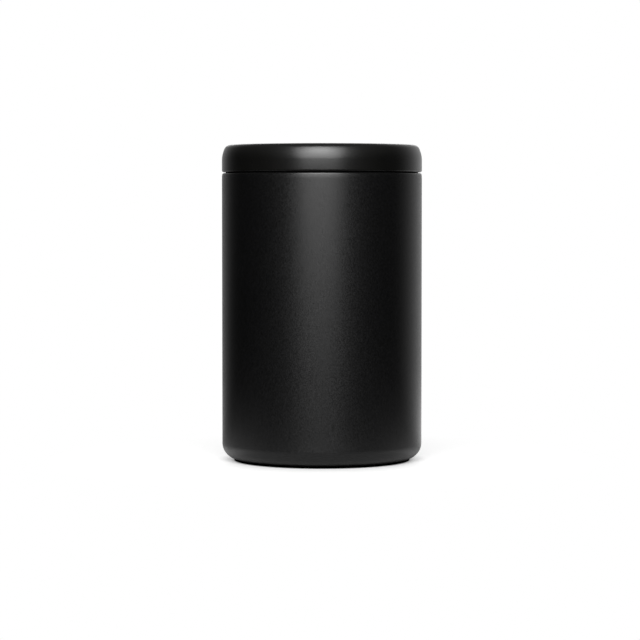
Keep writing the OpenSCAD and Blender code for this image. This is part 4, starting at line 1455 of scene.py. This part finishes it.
@dataclass
class Studio:
    """Camera, lamps, floor and surroundings. Lengths are in metres and angles in degrees.

    Attributes:
        camera_distance: How far in front of the canister's axis the camera stands.
        camera_height: Its height over the table.
        camera_left: How far to the left of the axis it stands.
        camera_pitch: How far it looks down.
        lens: Its focal length, in millimetres.
        sensor: Its sensor's width, in millimetres.
        clip_end: How far it sees.
        key: The large lamp over the camera.
        core: The smaller one in its middle, which brightens the highlight's core.
        back: The lamp behind, which draws the rims.
        aim_height: Height of the point that the lamps are aimed at.
        back_turn: How far the white behind the canister is turned to the right, as gloss sees it.
        back_start: Cosine of the angle at which that white begins.
        back_curve: How steeply it rises from there, as a power.
        back_gloss: How bright gloss sees it straight behind.
        top_gloss: How bright gloss sees the ceiling.
        top_start: Sine of the height at which the ceiling begins.
        top_full: Sine of the height at which it has its full brightness.
        ambient: The plain fill from all round.
        floor_size: Width of the floor.
        floor_colour: The paper's colour.
        floor_shade: Distance from the axis out to which the floor is painted black, a painted contact shadow under
            the canister's corner.
        floor_edge: Distance at which the paper has its colour again, where that painted shadow ends.
        floor_open: Distance at which the floor in front of the canister has its glow, which is dimmed nearer in as
            a painted contact shadow.
        floor_clear: The same to the sides and behind it.
        floor_front: How far forward a point must lie to count as in front, as a cosine.
        floor_side: How far forward a point lies where it counts as beside the canister.
        floor_curve: How the glow rises from the canister's corner, as a power, which shapes the painted contact
            shadow.
        floor_glow: How bright the camera sees the floor near the canister, over the light that falls on it.
        floor_near: Distance at which the floor begins to melt into the white.
        floor_far: Distance at which it has melted.
        floor_gloss: How bright gloss sees the floor out to there, a painted glow that only reflections show.
        floor_end: Distance at which gloss sees it as bright as the white behind.
        side_gloss: How bright gloss sees the floor beside the canister, a painted glow that only reflections show.
        side_end: Distance at which that has faded.
    """

    camera_distance: float = 1.354
    camera_height: float = 0.14
    camera_left: float = 0.00103
    camera_pitch: float = 2.716
    lens: float = 140.72
    sensor: float = 36.0
    clip_end: float = 50.0
    key: Softbox = Softbox("key_softbox", 0.82, 0.84, 1.0, 28.0, -2.5, 4.5)
    core: Softbox = Softbox("key_core", 0.36, 0.4, 0.98, 38.0, -2.5, 3.8)
    back: Softbox = Softbox("back_softbox", 0.5, 0.4, 1.2, 18.0, 180.0, 1.2)
    aim_height: float = 0.12
    back_turn: float = 12.0
    back_start: float = 0.25
    back_curve: float = 2.0
    back_gloss: float = 0.8
    top_gloss: float = 0.12
    top_start: float = 0.2
    top_full: float = 0.9
    ambient: float = 0.12
    floor_size: float = 8.0
    floor_colour: str = "#c4c4c4"
    floor_shade: float = 0.0475
    floor_edge: float = 0.05
    floor_open: float = 0.085
    floor_clear: float = 0.058
    floor_front: float = -0.9
    floor_side: float = -0.3
    floor_curve: float = 0.25
    floor_glow: float = 0.74
    floor_near: float = 0.065
    floor_far: float = 0.15
    floor_gloss: float = 2.0
    floor_end: float = 0.6
    side_gloss: float = 0.38
    side_end: float = 0.26

    def camera(self) -> Object:
        """The camera at the photograph's place, a long lens a little above the middle of the canister.

        Returns:
            The camera.
        """
        data = bpy.data.cameras.new("camera")
        data.lens = self.lens
        data.sensor_width = self.sensor
        data.sensor_fit = "HORIZONTAL"
        data.clip_end = self.clip_end
        made = bpy.data.objects.new("camera", data)
        bpy.context.scene.collection.objects.link(made)
        made.location = (-self.camera_left, -self.camera_distance, self.camera_height)
        made.rotation_euler = (math.radians(90 - self.camera_pitch), 0, 0)
        bpy.context.scene.camera = made
        return made

    def backdrop(self, tree: Tree, way: Socket, gloss: float | Socket) -> Socket:
        """How bright gloss finds the white sweep in a direction.

        Args:
            tree: The node tree.
            way: The direction, of length 1.
            gloss: The brightness straight behind the canister. It fades towards the sides, and is 0 in front.

        Returns:
            The brightness.
        """
        turn = math.radians(self.back_turn)
        behind = {0: way, 1: (math.sin(turn), math.cos(turn), 0.0)}
        along = add_node(tree, "ShaderNodeVectorMath", {"operation": "DOT_PRODUCT"}, behind).outputs["Value"]
        fade = {"Value": along, "From Min": self.back_start}
        share = add_node(tree, "ShaderNodeMapRange", inputs=fade).outputs["Result"]
        curve = add_node(tree, "ShaderNodeMath", {"operation": "POWER"}, {0: share, 1: self.back_curve})
        bright = {0: curve.outputs["Value"], 1: gloss}
        return add_node(tree, "ShaderNodeMath", {"operation": "MULTIPLY"}, bright).outputs["Value"]

    def world(self) -> None:
        """White behind the canister for the camera and for gloss, dark in front, and a plain fill."""
        world = bpy.data.worlds.new("studio")
        world.use_nodes = True
        bpy.context.scene.world = world
        tree = world.node_tree
        tree.nodes.clear()
        rays = add_node(tree, "ShaderNodeLightPath").outputs
        way = add_node(tree, "ShaderNodeTexCoord").outputs["Generated"]
        height = add_node(tree, "ShaderNodeSeparateXYZ", inputs={0: way}).outputs["Z"]
        rise = {"Value": height, "From Min": self.top_start, "From Max": self.top_full, "To Max": self.top_gloss}
        ceiling = add_node(tree, "ShaderNodeMapRange", inputs=rise).outputs["Result"]
        white = {0: self.backdrop(tree, way, self.back_gloss), 1: ceiling}
        gloss = add_node(tree, "ShaderNodeMath", {"operation": "MAXIMUM"}, white).outputs["Value"]
        seen = {"Value": rays["Is Glossy Ray"], "To Min": self.ambient, "To Max": gloss}
        fill = add_node(tree, "ShaderNodeMapRange", inputs=seen).outputs["Result"]
        shown = {"Value": rays["Is Camera Ray"], "To Min": fill, "To Max": 1.0}
        strength = add_node(tree, "ShaderNodeMapRange", inputs=shown).outputs["Result"]
        light = add_node(tree, "ShaderNodeBackground", inputs={"Color": linear("#ffffff"), "Strength": strength})
        add_node(tree, "ShaderNodeOutputWorld", inputs={"Surface": light.outputs["Background"]})

    def paper(self, tree: Tree, away: Socket, melted: Socket) -> Socket:
        """The paper that the lamps light: painted black under the canister as a painted contact shadow, and gone
        where it melts into the white.

        Args:
            tree: The node tree.
            away: The distance from the axis.
            melted: How far the floor has melted, from 0 to 1.

        Returns:
            The shader.
        """
        # Painted shadow: the paper is black out to floor_shade and takes its own colour at floor_edge
        rise = {"Value": away, "From Min": self.floor_shade, "From Max": self.floor_edge}
        edge = add_node(tree, "ShaderNodeMapRange", inputs=rise).outputs["Result"]
        lit = add_node(tree, "ShaderNodeMath", {"operation": "SUBTRACT"}, {0: edge, 1: melted}).outputs["Value"]
        ends = {"Factor": lit, MIX_LOW: linear("#000000"), MIX_HIGH: linear(self.floor_colour)}
        colour = add_node(tree, "ShaderNodeMix", {"data_type": "RGBA"}, ends).outputs[MIX_RESULT]
        return add_node(tree, "ShaderNodeBsdfDiffuse", inputs={"Color": colour}).outputs["BSDF"]

    def glow(self, tree: Tree, place: Socket, away: Socket, melted: Socket) -> Socket:
        """The floor's own light, which the camera and gloss see. Near the canister the camera's share is dimmed
        into a painted contact shadow, and gloss sees a painted glow there.

        Args:
            tree: The node tree.
            place: The place of each point.
            away: The distance from the axis.
            melted: How far the floor has melted, from 0 to 1.

        Returns:
            The shader.
        """
        rays = add_node(tree, "ShaderNodeLightPath").outputs
        outward = add_node(tree, "ShaderNodeVectorMath", {"operation": "NORMALIZE"}, {0: place}).outputs["Vector"]
        facing = add_node(tree, "ShaderNodeSeparateXYZ", inputs={0: outward}).outputs["Y"]
        # Painted contact shadow: the glow that the camera sees is dimmed near the canister, over a longer reach in
        # front than to the sides
        round_it = {"Value": facing, "From Min": self.floor_front, "From Max": self.floor_side}
        round_it |= {"To Min": self.floor_open, "To Max": self.floor_clear}
        open_at = add_node(tree, "ShaderNodeMapRange", inputs=round_it).outputs["Result"]
        rise = {"Value": away, "From Min": self.floor_shade, "From Max": open_at}
        open_by = add_node(tree, "ShaderNodeMapRange", inputs=rise).outputs["Result"]
        curve = add_node(tree, "ShaderNodeMath", {"operation": "POWER"}, {0: open_by, 1: self.floor_curve})
        bright = {0: curve.outputs["Value"], 1: self.floor_glow}
        near = add_node(tree, "ShaderNodeMath", {"operation": "MULTIPLY"}, bright).outputs["Value"]
        melting = {"Value": melted, "To Min": near, "To Max": 1.0}
        seen = add_node(tree, "ShaderNodeMapRange", inputs=melting).outputs["Result"]
        # Painted glow: gloss alone sees the floor bright near the canister and beside it
        pool = {"Value": away, "From Min": self.floor_far, "From Max": self.floor_end}
        pool |= {"To Min": self.floor_gloss, "To Max": self.back_gloss}
        pooled = add_node(tree, "ShaderNodeMapRange", inputs=pool).outputs["Result"]
        turned = {"Value": facing, "From Min": self.floor_front, "From Max": self.floor_side}
        beside = add_node(tree, "ShaderNodeMapRange", inputs=turned).outputs["Result"]
        fading = {"Value": away, "From Min": self.floor_near, "From Max": self.side_end}
        fading |= {"To Min": self.side_gloss, "To Max": 0.0}
        faded = add_node(tree, "ShaderNodeMapRange", inputs=fading).outputs["Result"]
        side = add_node(tree, "ShaderNodeMath", {"operation": "MULTIPLY"}, {0: beside, 1: faded}).outputs["Value"]
        white = {0: self.backdrop(tree, outward, pooled), 1: side}
        brightest = add_node(tree, "ShaderNodeMath", {"operation": "MAXIMUM"}, white).outputs["Value"]
        swept = {0: open_by, 1: brightest}
        sweep = add_node(tree, "ShaderNodeMath", {"operation": "MULTIPLY"}, swept).outputs["Value"]
        glossy = {0: sweep, 1: rays["Is Glossy Ray"]}
        unseen = add_node(tree, "ShaderNodeMath", {"operation": "MULTIPLY"}, glossy).outputs["Value"]
        shown = {"Value": rays["Is Camera Ray"], "To Min": unseen, "To Max": seen}
        strength = add_node(tree, "ShaderNodeMapRange", inputs=shown).outputs["Result"]
        return add_node(tree, "ShaderNodeEmission", inputs={"Strength": strength}).outputs["Emission"]

    def floor(self) -> Object:
        """A white floor that keeps the lamps' contact shadow, deepened by a painted shadow round the canister, and
        melts into the white behind it. Near the canister it also has a painted glow that only gloss sees.

        Returns:
            The floor.
        """
        Bench.clear()
        bpy.ops.mesh.primitive_plane_add(size=self.floor_size)
        made = bpy.context.object
        made.name = made.data.name = "floor"
        material = bpy.data.materials.new("white_paper_sweep_with_painted_shadow")
        material.use_nodes = True
        tree = material.node_tree
        tree.nodes.clear()
        place = add_node(tree, "ShaderNodeTexCoord").outputs["Object"]
        away = add_node(tree, "ShaderNodeVectorMath", {"operation": "LENGTH"}, {0: place}).outputs["Value"]
        melting = {"Value": away, "From Min": self.floor_near, "From Max": self.floor_far}
        melted = add_node(tree, "ShaderNodeMapRange", inputs=melting).outputs["Result"]
        both = {0: self.paper(tree, away, melted), 1: self.glow(tree, place, away, melted)}
        whole = add_node(tree, "ShaderNodeAddShader", inputs=both)
        add_node(tree, "ShaderNodeOutputMaterial", inputs={"Surface": whole.outputs["Shader"]})
        made.data.materials.append(material)
        return made

    def build(self) -> None:
        """Sets the studio up and keeps the plain view transform."""
        bpy.context.scene.view_settings.view_transform = "Standard"
        self.camera()
        aim = Vector((0, 0, self.aim_height))
        for lamp in (self.key, self.core, self.back):
            lamp.build(aim)
        self.world()
        self.floor()


def main() -> None:
    """Builds the studio and every sub-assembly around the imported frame."""
    logging.basicConfig(level=logging.INFO, format="%(message)s")
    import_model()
    Studio().build()
    looks = Finishes()
    for assembly in (Canister(), Cap(), InnerLid(), Press(), Valve()):
        assembly.build(looks)
    Bench.clear()


if __name__ == "__main__":
    main()
